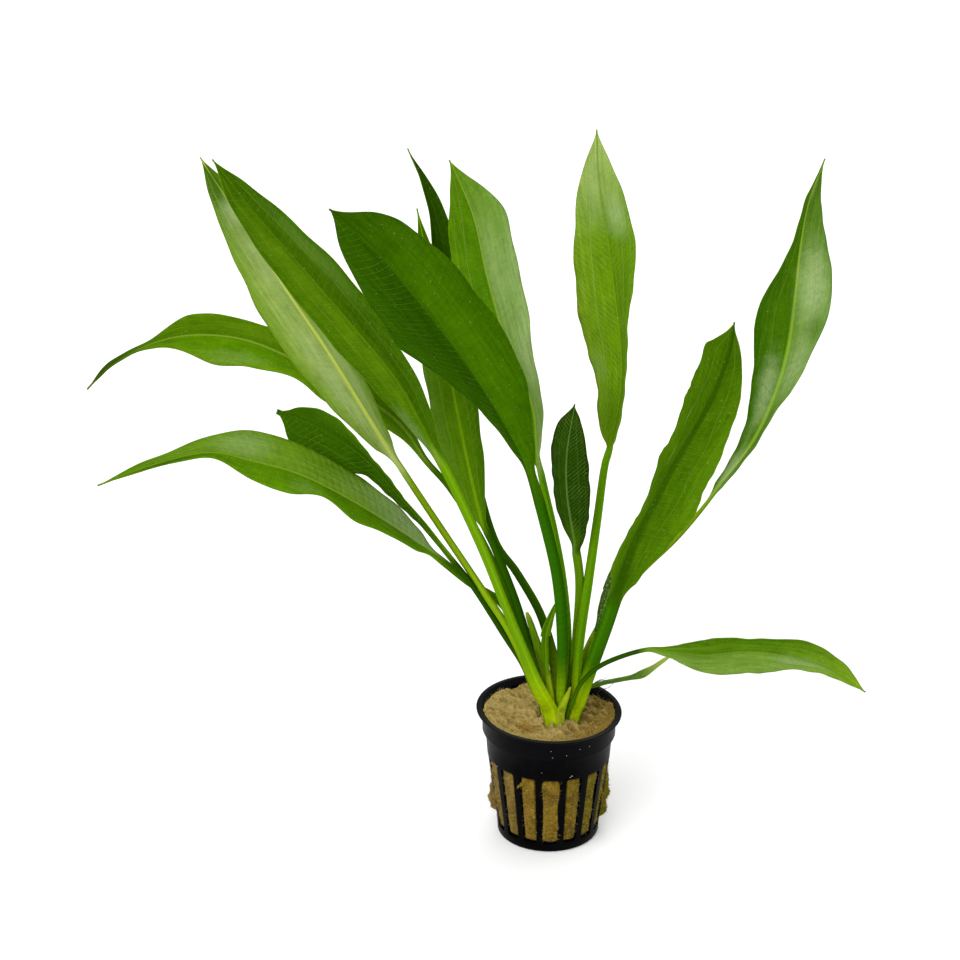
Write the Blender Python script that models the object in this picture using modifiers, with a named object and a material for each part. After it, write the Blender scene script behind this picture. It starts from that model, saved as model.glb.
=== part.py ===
"""A potted amazon sword plant: a slotted net pot, a plug of mineral wool, a crown, and leaves that grow from it."""

import math

import bmesh
import bpy
from mathutils import Vector

MM = 0.001

# Driving dimensions of the pot, in millimetres
RIM_DIAMETER = 55.0
POT_HEIGHT = 51.0
BASE_RADIUS = 18.9
WALL = 1.2
FLOOR = 1.3
GAP = 0.35

# The rim's flange, the collar under it and the tapered wall
RIM_RADIUS = RIM_DIAMETER / 2
FLANGE = 2.6
LIP = 1.2
RIM_EDGE = 0.4
COLLAR_RADIUS = RIM_RADIUS - 3.2
COLLAR_BOTTOM = POT_HEIGHT - 9.0
COLLAR_FILLET = 0.6
WALL_TOP_RADIUS = COLLAR_RADIUS - 1.2
SLOT_TOP_RADIUS = WALL_TOP_RADIUS - 0.7
FLOOR_RADIUS = BASE_RADIUS - 2.1
FOOT_RADIUS = BASE_RADIUS - 2.3
FOOT_ROUND = 0.8
ROUND_STEPS = 48

# Slots round the wall: their width and the place of the first one in degrees, and their heights
SLOT_COUNT = 16
SLOT_PITCH = 360.0 / SLOT_COUNT
SLOT_ANGLE = 14.5
SLOT_FIRST = -87.4
SLOT_BOTTOM = 3.6
SLOT_TOP = 32.0
SLOT_INNER = BASE_RADIUS - 3.0

# The rim dips towards +X: its plane leans by this much at the rim's radius
RIM_DIP = 1.4

# Mineral wool: its torn top slopes up to the front, and it swells out through the slots
WOOL_TOP_FRONT = 49.6
WOOL_TOP_BACK = 46.9
WOOL_LUMP = 0.5
WOOL_BULGE = 1.3
WOOL_WALL_LEVELS = (
    (FLOOR + GAP, 0.0), (SLOT_BOTTOM + 0.3, 0.0), (7.5, 0.9), (15.0, 0.7), (23.0, 1.0), (29.0, 0.9),
    (SLOT_TOP - 0.3, 0.0), (COLLAR_BOTTOM - 0.5, 0.0),
)
WOOL_TOP_REACHES = (0.97, 0.7, 0.4, 0.0)
WOOL_SLOT_CLEARANCE = 1.2
WOOL_SLOT_EDGE = 0.3

# Crown: its axis, and its profile of (radius, height) from the top down to its foot in the wool
CROWN_AXIS = (4.7, -6.0)
CROWN_TOP = 55.4
CROWN_BOTTOM = 38.0
CROWN_WELL = 44.0
CROWN_SIDE = ((8.1, 54.6), (6.5, 52.2), (5.8, 49.6), (5.0, CROWN_WELL), (4.3, 38.5))
CROWN_PROFILE = ((0.0, CROWN_TOP), (7.7, CROWN_TOP), *CROWN_SIDE, (0.0, CROWN_BOTTOM))
CROWN_STEPS = 24
FOOT_HEIGHT = CROWN_TOP + 0.8

# Leaf sections: rings along the stalk and along the blade, and the thickness of blade and rib
STALK_RINGS = 5
BLADE_RINGS = 12
BLADE_THICKNESS = 0.5
RIB_THICKNESS = 1.1
TIP_HALF_WIDTH = 0.3
FLATTENING = 3.0
HALF_MIDDLE = 0.6
WAVE_SHIFT = 0.35

# Round shoots: spans along their length, and the bevel's resolution, which gives eight sides
SHOOT_SPANS = 6
SHOOT_BEVEL = 2

# The two ways that the upper sides of the blades mostly face: to the front and up, or to the back
FRONT = (0.02, -0.91, 0.41)
BACK = (-0.02, 0.91, -0.41)

GREENS = {
    "deep": (0.055, 0.17, 0.012),
    "mid": (0.10, 0.27, 0.015),
    "bright": (0.19, 0.38, 0.03),
    "pale": (0.30, 0.45, 0.10),
}

# Each leaf grows along its route from the crown to its tip. half_widths are at every tenth of the blade,
# turns roll the blade about its rib from base to tip, and fold raises both halves like an open book.
LEAVES = {
    "leaf_left_pale": dict(
        colour="pale",
        route=(
            (-1.2, -8.2, FOOT_HEIGHT), (-3.5, -9, 61), (-7.5, -10, 72), (-15, -11, 89), (-26, -8, 106),
            (-43, -3, 132), (-59, 2, 154), (-81, 14, 189), (-98, 21, 213), (-114, 27, 237), (-128, 32, 258),
        ),
        blade_from=0.46,
        half_widths=(6, 10, 13, 15, 15.5, 13.5, 11, 8.5, 4.5),
        faces=FRONT,
        turns=(-35, -45, -48, -46, -38),
        fold=14,
        stalk=(1.05, 1.5, 1.3),
        wave=(0.5, 2.0, 0.1),
    ),
    "leaf_left_tall": dict(
        colour="mid",
        route=(
            (0.6, -10.8, FOOT_HEIGHT), (-1.2, -12.7, 61), (-4, -13, 69), (-7, -13, 81), (-17, -13, 102),
            (-27, -11, 123), (-35, -9, 147), (-43, -7, 164), (-56, -3, 186), (-72, 2, 205), (-89, 7, 224),
            (-107, 12, 244), (-122, 18, 262),
        ),
        blade_from=0.44,
        half_widths=(3, 7, 9.5, 11, 11.5, 10.5, 9, 7, 3.8),
        faces=FRONT,
        turns=(-18, -12, -4, 8, 15),
        fold=10,
        stalk=(1.05, 1.8, 1.4),
        wave=(0.5, 2.5, 0.4),
    ),
    "leaf_front_broad": dict(
        colour="deep",
        route=(
            (4.2, -8.9, FOOT_HEIGHT), (4.3, -10.2, 62), (5, -13, 87), (3, -16, 113), (-2, -20, 137),
            (-8, -25, 161), (-17, -31, 183), (-29, -37, 206), (-43, -44, 229), (-59, -52, 251), (-74, -62, 270),
        ),
        blade_from=0.38,
        half_widths=(6, 11, 15, 17, 17.5, 17, 15, 14, 10.5),
        faces=BACK,
        turns=(-52, -52, -38, -14, -26),
        fold=12,
        stalk=(1.05, 1.8, 1.7),
        wave=(0.8, 2.5, 0.2),
    ),
    "leaf_left_arched_high": dict(
        colour="mid",
        route=(
            (1.0, -0.2, FOOT_HEIGHT), (-0.7, 2, 61), (-7, 5, 76), (-15, 10, 92), (-25, 18, 113), (-36, 26, 130),
            (-46, 32, 141), (-58, 38, 152), (-76, 44, 163), (-98, 51, 172), (-117, 57, 178), (-137, 64, 177),
            (-155, 71, 169), (-171, 76, 158), (-181, 79, 147),
        ),
        blade_from=0.37,
        half_widths=(4.5, 7.5, 9.5, 10.5, 10.5, 9.5, 7.5, 2.5, 2),
        faces=FRONT,
        turns=(-10, 5, 10, 20, -10, -20, 40, 90, 100),
        fold=14,
        stalk=(1.05, 1.5, 1.3),
        wave=(1.0, 2.5, 0.3),
    ),
    "leaf_left_arched_low": dict(
        colour="mid",
        route=(
            (-1.2, -1.7, FOOT_HEIGHT), (-3.7, 0.3, 61), (-8, 2.5, 74), (-11.5, 3.5, 83), (-19, 2, 95.5),
            (-30, -2, 105), (-42, -7, 118), (-55, -11, 130), (-72, -16, 144), (-90, -22, 157), (-107, -28, 165),
            (-122, -34, 172), (-141, -41, 170), (-159, -48, 163),
        ),
        blade_from=0.34,
        half_widths=(4, 8, 10, 10.5, 10, 9.5, 5.5, 3, 1.5),
        faces=FRONT,
        turns=(46, 48, 45, 30, 40, 60, 70),
        fold=16,
        stalk=(1.05, 1.5, 1.3),
        wave=(0.8, 2.0, 0.6),
    ),
    "leaf_left_short": dict(
        colour="deep",
        route=(
            (-1.9, -5.3, FOOT_HEIGHT), (-4.5, -5, 61), (-9.3, -6, 72), (-17, -7, 86), (-30, -8, 105),
            (-36, -9, 120), (-44.5, -9, 133), (-53, -9, 145.5), (-61, -9, 155), (-72, -9, 164), (-85, -9, 171),
            (-99, -8, 176),
        ),
        blade_from=0.44,
        half_widths=(2, 2.5, 4, 4.5, 5, 8, 9.5, 10, 9),
        faces=FRONT,
        turns=(-52, -58, -58, -42, -40),
        fold=22,
        stalk=(1.05, 1.4, 1.3),
        wave=(0.6, 3.0, 0.0),
    ),
    "leaf_back_left": dict(
        colour="bright",
        route=(
            (1.1, -3.8, FOOT_HEIGHT), (-0.4, -3, 61), (-7, -1, 79), (-14, 3, 97), (-21, 8, 114), (-24, 12, 124),
            (-31, 20, 144), (-36, 28, 166), (-41, 38, 189), (-46, 48, 211), (-51, 58, 230),
        ),
        blade_from=0.36,
        half_widths=(7, 9, 9.5, 10, 10, 9.5, 8, 5, 1.8),
        faces=FRONT,
        turns=(-45, -38, -30, -30, -30),
        fold=12,
        stalk=(1.05, 1.5, 1.4),
        wave=(0.5, 2.0, 0.5),
    ),
    "leaf_back_dark": dict(
        colour="deep",
        route=(
            (3.5, 0.1, FOOT_HEIGHT), (3, 2.6, 61), (1, 4.3, 72), (-4, 8, 87), (-11, 13, 101), (-19, 19, 112),
            (-27, 30, 136), (-32, 42, 164), (-38, 56, 194), (-44, 69, 222), (-55, 83, 244),
        ),
        blade_from=0.4,
        half_widths=(3, 4.5, 5.5, 6, 6, 5.5, 5, 4.5, 2.5),
        faces=FRONT,
        turns=(30, 30, 10, 35, 60),
        fold=14,
        stalk=(1.05, 1.5, 1.3),
        wave=(0.4, 2.0, 0.2),
    ),
    "leaf_back_glossy": dict(
        colour="pale",
        route=(
            (5.3, -3.5, FOOT_HEIGHT), (5.6, -2.6, 61), (6, -2, 81), (5, 2, 104), (2, 8, 126), (-2, 15, 147),
            (-7, 22, 166), (-16, 30, 185), (-24, 41, 208), (-30, 51, 230), (-39, 61, 248),
        ),
        blade_from=0.42,
        half_widths=(7, 10, 11.5, 12, 13, 12.5, 12, 10.5, 6.5),
        faces=FRONT,
        turns=(-65, -42, -10, 5, 35),
        fold=20,
        stalk=(1.05, 1.5, 1.3),
        wave=(0.6, 2.5, 0.0),
    ),
    "leaf_centre_tall": dict(
        colour="bright",
        route=(
            (7.8, -7.8, FOOT_HEIGHT), (9.2, -8.6, 61), (12, -8, 85), (15, -6, 108), (18, -2, 132), (20, 2, 151),
            (22, 5, 160), (25, 10, 176), (25, 15, 193), (22, 21, 214), (19, 27, 234), (16, 31, 253),
            (15, 34, 269),
        ),
        blade_from=0.46,
        half_widths=(6, 10.5, 13, 14, 13.5, 12.5, 11, 8.5, 4.5),
        faces=FRONT,
        turns=(-62, -63, -58, -38, -20, -10, 8),
        fold=22,
        stalk=(1.05, 1.8, 1.4),
        wave=(0.8, 3.0, 0.3),
    ),
    "leaf_centre_small": dict(
        colour="deep",
        route=(
            (7.7, -3.8, FOOT_HEIGHT), (8.8, -3.2, 61), (10, -4, 82), (11, -5, 106), (9, -7, 124), (6, -11, 145),
            (6, -15, 164), (8, -18, 183),
        ),
        blade_from=0.52,
        half_widths=(4.5, 7, 8.3, 8.5, 8, 6.8, 6, 5, 3.5),
        faces=BACK,
        turns=(-50, -50, -42, -10, 35),
        fold=14,
        stalk=(1.0, 1.3, 1.1),
        wave=(0.3, 2.0, 0.0),
    ),
    "leaf_right_wavy": dict(
        colour="mid",
        route=(
            (10, -9.6, FOOT_HEIGHT), (12, -11, 61), (15, -14, 77), (20, -18, 96), (25, -23, 113), (30, -28, 131),
            (37, -35, 154), (43, -41, 172), (49, -48, 189), (55, -54, 204), (59, -59, 220), (61, -62, 233),
        ),
        blade_from=0.27,
        half_widths=(5, 9, 12, 13.5, 14, 13.5, 11.5, 10, 7.5),
        faces=BACK,
        turns=(-10, -45, -50, -42, -15, 15),
        fold=26,
        stalk=(1.05, 1.9, 1.8),
        wave=(1.8, 4.5, 0.1),
    ),
    "leaf_right_outer": dict(
        colour="bright",
        route=(
            (10.2, -2.8, FOOT_HEIGHT), (12.3, -1.3, 61), (18, 1, 72), (26, 7, 90), (35, 14, 102), (49, 22, 115),
            (65, 32, 129), (75, 39, 141), (84, 47, 158), (89, 54, 175), (91, 60, 194), (92, 66, 214),
            (97, 71, 232), (101, 75, 245),
        ),
        blade_from=0.40,
        half_widths=(5, 8, 9.5, 12, 13, 13.5, 12, 8, 2.5),
        faces=FRONT,
        turns=(-60, -62, -50, -20, 10, 50, 55),
        fold=24,
        stalk=(1.05, 1.4, 1.2),
        wave=(1.0, 3.0, 0.2),
    ),
    "leaf_right_low": dict(
        colour="mid",
        route=(
            (7.1, -11.6, FOOT_HEIGHT), (8.7, -14.2, 61.5), (12, -16.8, 71.5), (19, -18.5, 79.5), (30, -21, 85.5),
            (40, -24, 87), (56, -30, 90), (70, -35, 94), (83, -40, 96), (99, -46, 94), (113, -52, 88),
        ),
        blade_from=0.33,
        half_widths=(1.8, 3.8, 6, 6.3, 6, 5.8, 5, 3.8, 2.2),
        faces=FRONT,
        turns=(-25, -10, 25, 20, -45, -50),
        fold=20,
        stalk=(0.9, 0.9, 0.8),
        wave=(0.5, 2.5, 0.5),
    ),
    "leaf_right_sliver": dict(
        colour="bright",
        route=(
            (10, -5.6, FOOT_HEIGHT), (12, -5.4, 61), (15.5, -4, 76), (19, -2, 88), (21, 0, 98), (25, 1, 109),
            (28, 2, 120),
        ),
        blade_from=0.4,
        half_widths=(1.6, 1.8, 2, 2.2, 2.2, 2.2, 2, 1.6, 1.1),
        faces=FRONT,
        turns=(0, 20, 30),
        fold=10,
        stalk=(1.0, 1.1, 0.9),
        wave=(0.2, 2.0, 0.0),
    ),
    "leaf_newest": dict(
        colour="mid",
        route=(
            (1.9, -8.6, FOOT_HEIGHT), (0.8, -9.6, 61), (-1.5, -8.5, 77.5), (-1.7, -8, 86), (0, -8, 93),
            (2.8, -8, 101.5),
        ),
        blade_from=0.4,
        half_widths=(1.0, 1.2, 1.4, 1.5, 1.5, 1.4, 1.2, 1.0, 0.6),
        faces=FRONT,
        turns=(0, 20, 0),
        fold=10,
        stalk=(0.8, 0.9, 0.8),
        wave=(0.0, 2.0, 0.0),
    ),
}

# Cut stalks and other short growths: a route and the radius at each of its points
SHOOTS = {
    "stalk_stub_left": dict(
        colour="mid",
        route=((1.3, -6.4, FOOT_HEIGHT), (0.2, -6.4, 61), (-2, -5.5, 72), (-5, -4.5, 82), (-9, -2.5, 93)),
        radii=(1.05, 1.3, 1.3, 1.1, 0.6),
    ),
    "stalk_stub_centre": dict(
        colour="mid",
        route=((6.2, -6, FOOT_HEIGHT), (7, -6, 62), (8, -6, 69), (9, -6, 76)),
        radii=(0.8, 0.9, 0.8, 0.6),
    ),
    "front_sheath": dict(
        colour="pale",
        route=((3.8, -11.8, FOOT_HEIGHT), (4.4, -12.8, 59), (5.6, -13.4, 62), (7.0, -13.6, 65)),
        radii=(1.1, 1.2, 1.0, 0.6),
    ),
    "runner": dict(
        colour="bright",
        route=(
            (9.2, 0.1, FOOT_HEIGHT), (11.5, 2.5, 58), (15, 4, 58), (22, 6, 59), (29, 11, 59), (35, 16, 59),
            (38, 18.4, 59.6), (45, 23, 60),
        ),
        radii=(1.0, 1.0, 1.0, 0.9, 0.8, 1.5, 1.2, 0.7),
    ),
}


def clear_scene():
    for old in list(bpy.data.objects):
        bpy.data.objects.remove(old, do_unlink=True)


def new_collection(name):
    collection = bpy.data.collections.new(name)
    bpy.context.scene.collection.children.link(collection)
    return collection


def material(name, colour, roughness, metallic=0.0):
    made = bpy.data.materials.new(name)
    made.use_nodes = True
    shader = made.node_tree.nodes["Principled BSDF"]
    shader.inputs["Base Color"].default_value = (*colour, 1.0)
    shader.inputs["Roughness"].default_value = roughness
    shader.inputs["Metallic"].default_value = metallic
    return made


def mesh_object(name, points, faces, collection, made_of=None, edges=()):
    """An object from points in millimetres."""
    mesh = bpy.data.meshes.new(name)
    mesh.from_pydata([Vector(p) * MM for p in points], list(edges), faces)
    if made_of:
        mesh.materials.append(made_of)
    item = bpy.data.objects.new(name, mesh)
    collection.objects.link(item)
    return item


def shade_smooth(item):
    for face in item.data.polygons:
        face.use_smooth = True


def turned(name, profile, steps, collection, made_of):
    """A solid turned about Z from a profile of (radius, height) points that runs down its outer side."""
    points = [(radius, 0.0, height) for radius, height in profile]
    edges = [(i, i + 1) for i in range(len(points) - 1)]
    item = mesh_object(name, points, [], collection, made_of, edges)
    screw = item.modifiers.new("Turn", "SCREW")
    screw.steps = steps
    screw.render_steps = steps
    screw.use_merge_vertices = True
    screw.merge_threshold = 0.00001
    screw.use_smooth_shade = True
    return item


def plain_mesh(item):
    """Takes the object's modifiers into its mesh."""
    graph = bpy.context.evaluated_depsgraph_get()
    mesh = bpy.data.meshes.new_from_object(item.evaluated_get(graph))
    item.modifiers.clear()
    item.data = mesh


def face_outwards(item):
    """Turns a closed mesh's faces round if they point inwards, which shows in the sign of its volume."""
    shape = bmesh.new()
    shape.from_mesh(item.data)
    if shape.calc_volume(signed=True) < 0:
        bmesh.ops.reverse_faces(shape, faces=shape.faces)
    shape.to_mesh(item.data)
    shape.free()


def lofted(name, sections, collection, made_of=None):
    """A closed solid through unlike sections that have equally many points.

    A thin leaf's section runs out along its upper skin and back along its lower one. Each quad between two
    sections is split so that its diagonal has the same way on both skins, which keeps them parallel.
    """
    count = len(sections[0])
    points = [point for section in sections for point in section]
    faces = []
    for low in range(0, len(points) - count, count):
        for i in range(count):
            j = (i + 1) % count
            here, there, far_here, far_there = low + i, low + j, low + count + i, low + count + j
            if i < count // 2:
                faces += [(here, there, far_there), (here, far_there, far_here)]
            else:
                faces += [(here, there, far_here), (there, far_there, far_here)]
    faces.append(tuple(reversed(range(count))))
    faces.append(tuple(range(len(points) - count, len(points))))
    item = mesh_object(name, points, faces, collection, made_of)
    face_outwards(item)
    return item


def polar(radius, angle, height):
    return (radius * math.cos(angle), radius * math.sin(angle), height)


# Net pot


def pot_profile():
    return (
        (0.0, FLOOR),
        (FLOOR_RADIUS, FLOOR),
        (FLOOR_RADIUS + FOOT_ROUND, FLOOR + FOOT_ROUND),
        (SLOT_TOP_RADIUS - WALL, SLOT_TOP),
        (WALL_TOP_RADIUS - WALL, COLLAR_BOTTOM),
        (COLLAR_RADIUS - WALL, COLLAR_BOTTOM + WALL),
        (COLLAR_RADIUS - WALL, POT_HEIGHT - LIP - RIM_EDGE),
        (RIM_RADIUS - FLANGE, POT_HEIGHT),
        (RIM_RADIUS - RIM_EDGE, POT_HEIGHT),
        (RIM_RADIUS, POT_HEIGHT - RIM_EDGE),
        (RIM_RADIUS, POT_HEIGHT - LIP),
        (COLLAR_RADIUS + COLLAR_FILLET, POT_HEIGHT - LIP),
        (COLLAR_RADIUS, POT_HEIGHT - LIP - COLLAR_FILLET),
        (COLLAR_RADIUS, COLLAR_BOTTOM + COLLAR_FILLET),
        (WALL_TOP_RADIUS, COLLAR_BOTTOM),
        (SLOT_TOP_RADIUS, SLOT_TOP),
        (BASE_RADIUS, SLOT_BOTTOM - FOOT_ROUND),
        (BASE_RADIUS - FOOT_ROUND, FOOT_ROUND),
        (FOOT_RADIUS, 0.0),
        (0.0, 0.0),
    )


def lean_rim(item):
    """Lowers the rim towards +X and raises it towards -X, less and less down to the tops of the slots."""
    for point in item.data.vertices:
        share = max(0.0, (point.co.z / MM - SLOT_TOP) / (POT_HEIGHT - SLOT_TOP))
        point.co.z -= RIM_DIP * share * point.co.x / RIM_RADIUS


def slot_cutter(number, cutters):
    """A wedge that widens outwards, so a slot is wider where the tapered wall is."""
    middle = SLOT_FIRST + number * SLOT_PITCH
    start = math.radians(middle - SLOT_ANGLE / 2)
    end = math.radians(middle + SLOT_ANGLE / 2)
    corners = ((SLOT_INNER, start), (RIM_RADIUS, start), (RIM_RADIUS, end), (SLOT_INNER, end))
    sections = [[polar(*corner, height) for corner in corners] for height in (SLOT_BOTTOM, SLOT_TOP)]
    cutter = lofted("slot_cutter_%02d" % number, sections, cutters)
    cutter.display_type = "WIRE"
    cutter.hide_render = True


def net_pot(parts, cutters):
    black = material("black_plastic", (0.012, 0.012, 0.014), 0.42)
    pot = turned("net_pot", pot_profile(), ROUND_STEPS, parts, black)
    plain_mesh(pot)
    lean_rim(pot)
    for number in range(SLOT_COUNT):
        slot_cutter(number, cutters)
    cut = pot.modifiers.new("Slots", "BOOLEAN")
    cut.operation = "DIFFERENCE"
    cut.solver = "EXACT"
    cut.operand_type = "COLLECTION"
    cut.collection = cutters


# Mineral wool


def value_at(height, levels):
    """The value at a height, from (value, height) pairs that are joined by straight lines."""
    rising = sorted((level, value) for value, level in levels)
    if height <= rising[0][0]:
        return rising[0][1]
    for (low, start), (high, end) in zip(rising, rising[1:]):
        if height <= high:
            return start + (end - start) * (height - low) / (high - low)
    return rising[-1][1]


def wool_radius(height):
    """The radius that just fits inside the tapered wall."""
    wall = ((BASE_RADIUS, SLOT_BOTTOM), (SLOT_TOP_RADIUS, SLOT_TOP), (WALL_TOP_RADIUS, COLLAR_BOTTOM))
    if height < SLOT_BOTTOM:
        return FLOOR_RADIUS - GAP
    return value_at(height, wall) - WALL - GAP


def wool_columns():
    """Angles round the plug, five for each slot, with the share of the bulge and the slot's number."""
    half = SLOT_ANGLE / 2 - WOOL_SLOT_CLEARANCE
    outer = half + WOOL_SLOT_EDGE
    for number in range(SLOT_COUNT):
        middle = SLOT_FIRST + number * SLOT_PITCH
        for offset, bulge in ((-outer, 0.0), (-half, 0.8), (0.0, 1.0), (half, 0.8), (outer, 0.0)):
            yield math.radians(middle + offset), bulge, number


def wool_wall_ring(height, swell):
    """The plug's outside at a height, with a bulge of its own in each slot."""
    ring = []
    for angle, bulge, number in wool_columns():
        uneven = 0.75 + 0.25 * math.sin(2.3 * number + height)
        out = (WALL + GAP + WOOL_BULGE) * bulge * swell * uneven
        ring.append(polar(wool_radius(height) + out, angle, height))
    return ring


def wool_top(x, y, reach):
    """The height of the torn top; reach is 0 at the crown and 1 at the wall."""
    angle = math.atan2(y, x)
    swell = math.sin(3 * angle + 0.6) + 0.7 * math.sin(5 * angle + 2.1 + 2 * reach)
    lump = WOOL_LUMP * swell * math.sin(math.pi * min(1.0, 0.25 + reach))
    slope = (WOOL_TOP_FRONT - WOOL_TOP_BACK) / (2 * WALL_TOP_RADIUS)
    return (WOOL_TOP_FRONT + WOOL_TOP_BACK) / 2 - slope * y + lump


def well_point(angle, height):
    """A point of the well that the crown stands in."""
    radius = value_at(height, CROWN_SIDE) + GAP
    return (CROWN_AXIS[0] + radius * math.cos(angle), CROWN_AXIS[1] + radius * math.sin(angle), height)


def wool_top_ring(reach):
    ring = []
    for angle, _, _ in wool_columns():
        inner = Vector(well_point(angle, wool_top(*CROWN_AXIS, 0.0)))
        outer = Vector(polar(wool_radius(COLLAR_BOTTOM), angle, 0.0))
        place = inner.lerp(outer, reach)
        ring.append((place.x, place.y, wool_top(place.x, place.y, reach)))
    return ring


def wool_plug(parts):
    wool = material("mineral_wool", (0.42, 0.33, 0.12), 0.95)
    sections = [wool_wall_ring(height, swell) for height, swell in WOOL_WALL_LEVELS]
    sections += [wool_top_ring(reach) for reach in WOOL_TOP_REACHES]
    for height in (CROWN_WELL, CROWN_BOTTOM - GAP):
        sections.append([well_point(angle, height) for angle, _, _ in wool_columns()])
    lofted("mineral_wool", sections, parts, wool)


# Crown and leaves


def crown(parts):
    pale = material("crown_tissue", (0.42, 0.47, 0.06), 0.45)
    item = turned("crown", CROWN_PROFILE, CROWN_STEPS, parts, pale)
    item.location = (CROWN_AXIS[0] * MM, CROWN_AXIS[1] * MM, 0.0)


def smooth_value(values, share):
    """A smooth curve through evenly spaced numbers or points, read at a share of its length."""
    last = len(values) - 1
    place = max(0.0, min(1.0, share)) * last
    low = min(int(place), last - 1)
    k = place - low
    before, start, end, after = (values[max(0, min(last, low + i))] for i in (-1, 0, 1, 2))
    bend = 2 * before - 5 * start + 4 * end - after
    twist = 3 * start - before - 3 * end + after
    return (2 * start + (end - before) * k + bend * k * k + twist * k * k * k) * 0.5


def straight_value(values, share):
    """Evenly spaced values joined by straight lines."""
    last = len(values) - 1
    place = max(0.0, min(1.0, share)) * last
    low = min(int(place), last - 1)
    return values[low] + (values[low + 1] - values[low]) * (place - low)


def route_points(route, shares):
    """Places and directions at shares of the length of the smooth curve through a route."""
    knots = [Vector(p) for p in route]
    fine = 16 * (len(knots) - 1)
    curve = [smooth_value(knots, i / fine) for i in range(fine + 1)]
    run = [0.0]
    for start, end in zip(curve, curve[1:]):
        run.append(run[-1] + (end - start).length)
    found = []
    for share in shares:
        want = share * run[-1]
        i = next(k for k in range(fine) if run[k + 1] >= want - 1e-9)
        step = (want - run[i]) / (run[i + 1] - run[i])
        ahead = (curve[min(i + 2, fine)] - curve[max(i - 1, 0)]).normalized()
        found.append((curve[i].lerp(curve[i + 1], step), ahead))
    return found


def leaf_directions(leaf, along_blade, ahead):
    """Unit vectors across the blade, to its right, and up from its upper side."""
    turn = math.radians(smooth_value(leaf["turns"], along_blade))
    facing = Vector(leaf["faces"])
    facing = (facing - ahead * facing.dot(ahead)).normalized()
    across = ahead.cross(facing)
    up = facing * math.cos(turn) + across * math.sin(turn)
    across = across * math.cos(turn) - facing * math.sin(turn)
    return across, up


def leaf_section(leaf, share, place, ahead):
    """Eight points round the leaf at one place: edges, ribs and the middles of both halves."""
    along_blade = max(0.0, (share - leaf["blade_from"]) / (1.0 - leaf["blade_from"]))
    across, up = leaf_directions(leaf, along_blade, ahead)

    # A round stalk passes into a flat blade
    stalk = straight_value(leaf["stalk"], share / leaf["blade_from"]) * math.sqrt(max(0.0, 1.0 - along_blade))
    half = max(stalk, smooth_value((0.0, *leaf["half_widths"], 0.0), along_blade), TIP_HALF_WIDTH)
    flat = 1.0 if along_blade > 0.5 else min(1.0, max(0.0, (half - stalk) / FLATTENING))
    rib = (1 - flat) * stalk + flat * RIB_THICKNESS / 2 * (1.05 - 0.75 * along_blade)
    middle = (1 - flat) * stalk * 0.75 + flat * BLADE_THICKNESS / 2 * (1.1 - 0.5 * along_blade)

    # The halves rise from the rib, and their edges wave
    raised = flat * math.radians(leaf["fold"])
    size, count, start = leaf["wave"]
    size *= min(1.0, half / 5.0) * flat
    edges = []
    for side, shift in ((-1, 0.0), (1, WAVE_SHIFT)):
        lift = size * math.sin(2 * math.pi * (count * along_blade + start + shift))
        edges.append(place + across * (side * half * math.cos(raised)) + up * (half * math.sin(raised) + lift))
    left, right = edges
    left_middle = place.lerp(left, HALF_MIDDLE)
    right_middle = place.lerp(right, HALF_MIDDLE)
    return (
        left,
        left_middle + up * middle,
        place + up * rib,
        right_middle + up * middle,
        right,
        right_middle - up * middle,
        place - up * rib,
        left_middle - up * middle,
    )


def leaf_shares(leaf):
    start = leaf["blade_from"]
    stalk = [start * i / STALK_RINGS for i in range(STALK_RINGS)]
    blade = [start + (1.0 - start) * i / BLADE_RINGS for i in range(BLADE_RINGS + 1)]
    return stalk + blade


def leaf_solid(name, leaf, parts, greens):
    shares = leaf_shares(leaf)
    along = zip(shares, route_points(leaf["route"], shares))
    sections = [leaf_section(leaf, share, place, ahead) for share, (place, ahead) in along]
    item = lofted(name, sections, parts, greens[leaf["colour"]])
    shade_smooth(item)


def shoot_solid(name, shoot, parts, greens):
    """A round stem: a curve along a route, as thick at each place as its radii say."""
    curve = bpy.data.curves.new(name, "CURVE")
    curve.dimensions = "3D"
    curve.bevel_depth = MM
    curve.bevel_resolution = SHOOT_BEVEL
    curve.use_fill_caps = True
    curve.materials.append(greens[shoot["colour"]])
    shares = [i / SHOOT_SPANS for i in range(SHOOT_SPANS + 1)]
    spline = curve.splines.new("POLY")
    spline.points.add(SHOOT_SPANS)
    for point, share, (place, _) in zip(spline.points, shares, route_points(shoot["route"], shares)):
        point.co = (*(place * MM), 1.0)
        point.radius = smooth_value(shoot["radii"], share)
    parts.objects.link(bpy.data.objects.new(name, curve))


def main():
    clear_scene()
    parts = new_collection("potted_sword_plant")
    cutters = new_collection("slot_cutters")
    net_pot(parts, cutters)
    wool_plug(parts)
    crown(parts)
    greens = {name: material("leaf_" + name, colour, 0.35) for name, colour in GREENS.items()}
    for name, leaf in LEAVES.items():
        leaf_solid(name, leaf, parts, greens)
    for name, shoot in SHOOTS.items():
        shoot_solid(name, shoot, parts, greens)


main()
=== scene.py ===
"""A potted amazon sword plant: veined leaves, a pale crown, torn mineral wool and a black net pot."""

import math

import bmesh
import bpy
from mathutils import Euler, Matrix, Vector, noise


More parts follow.
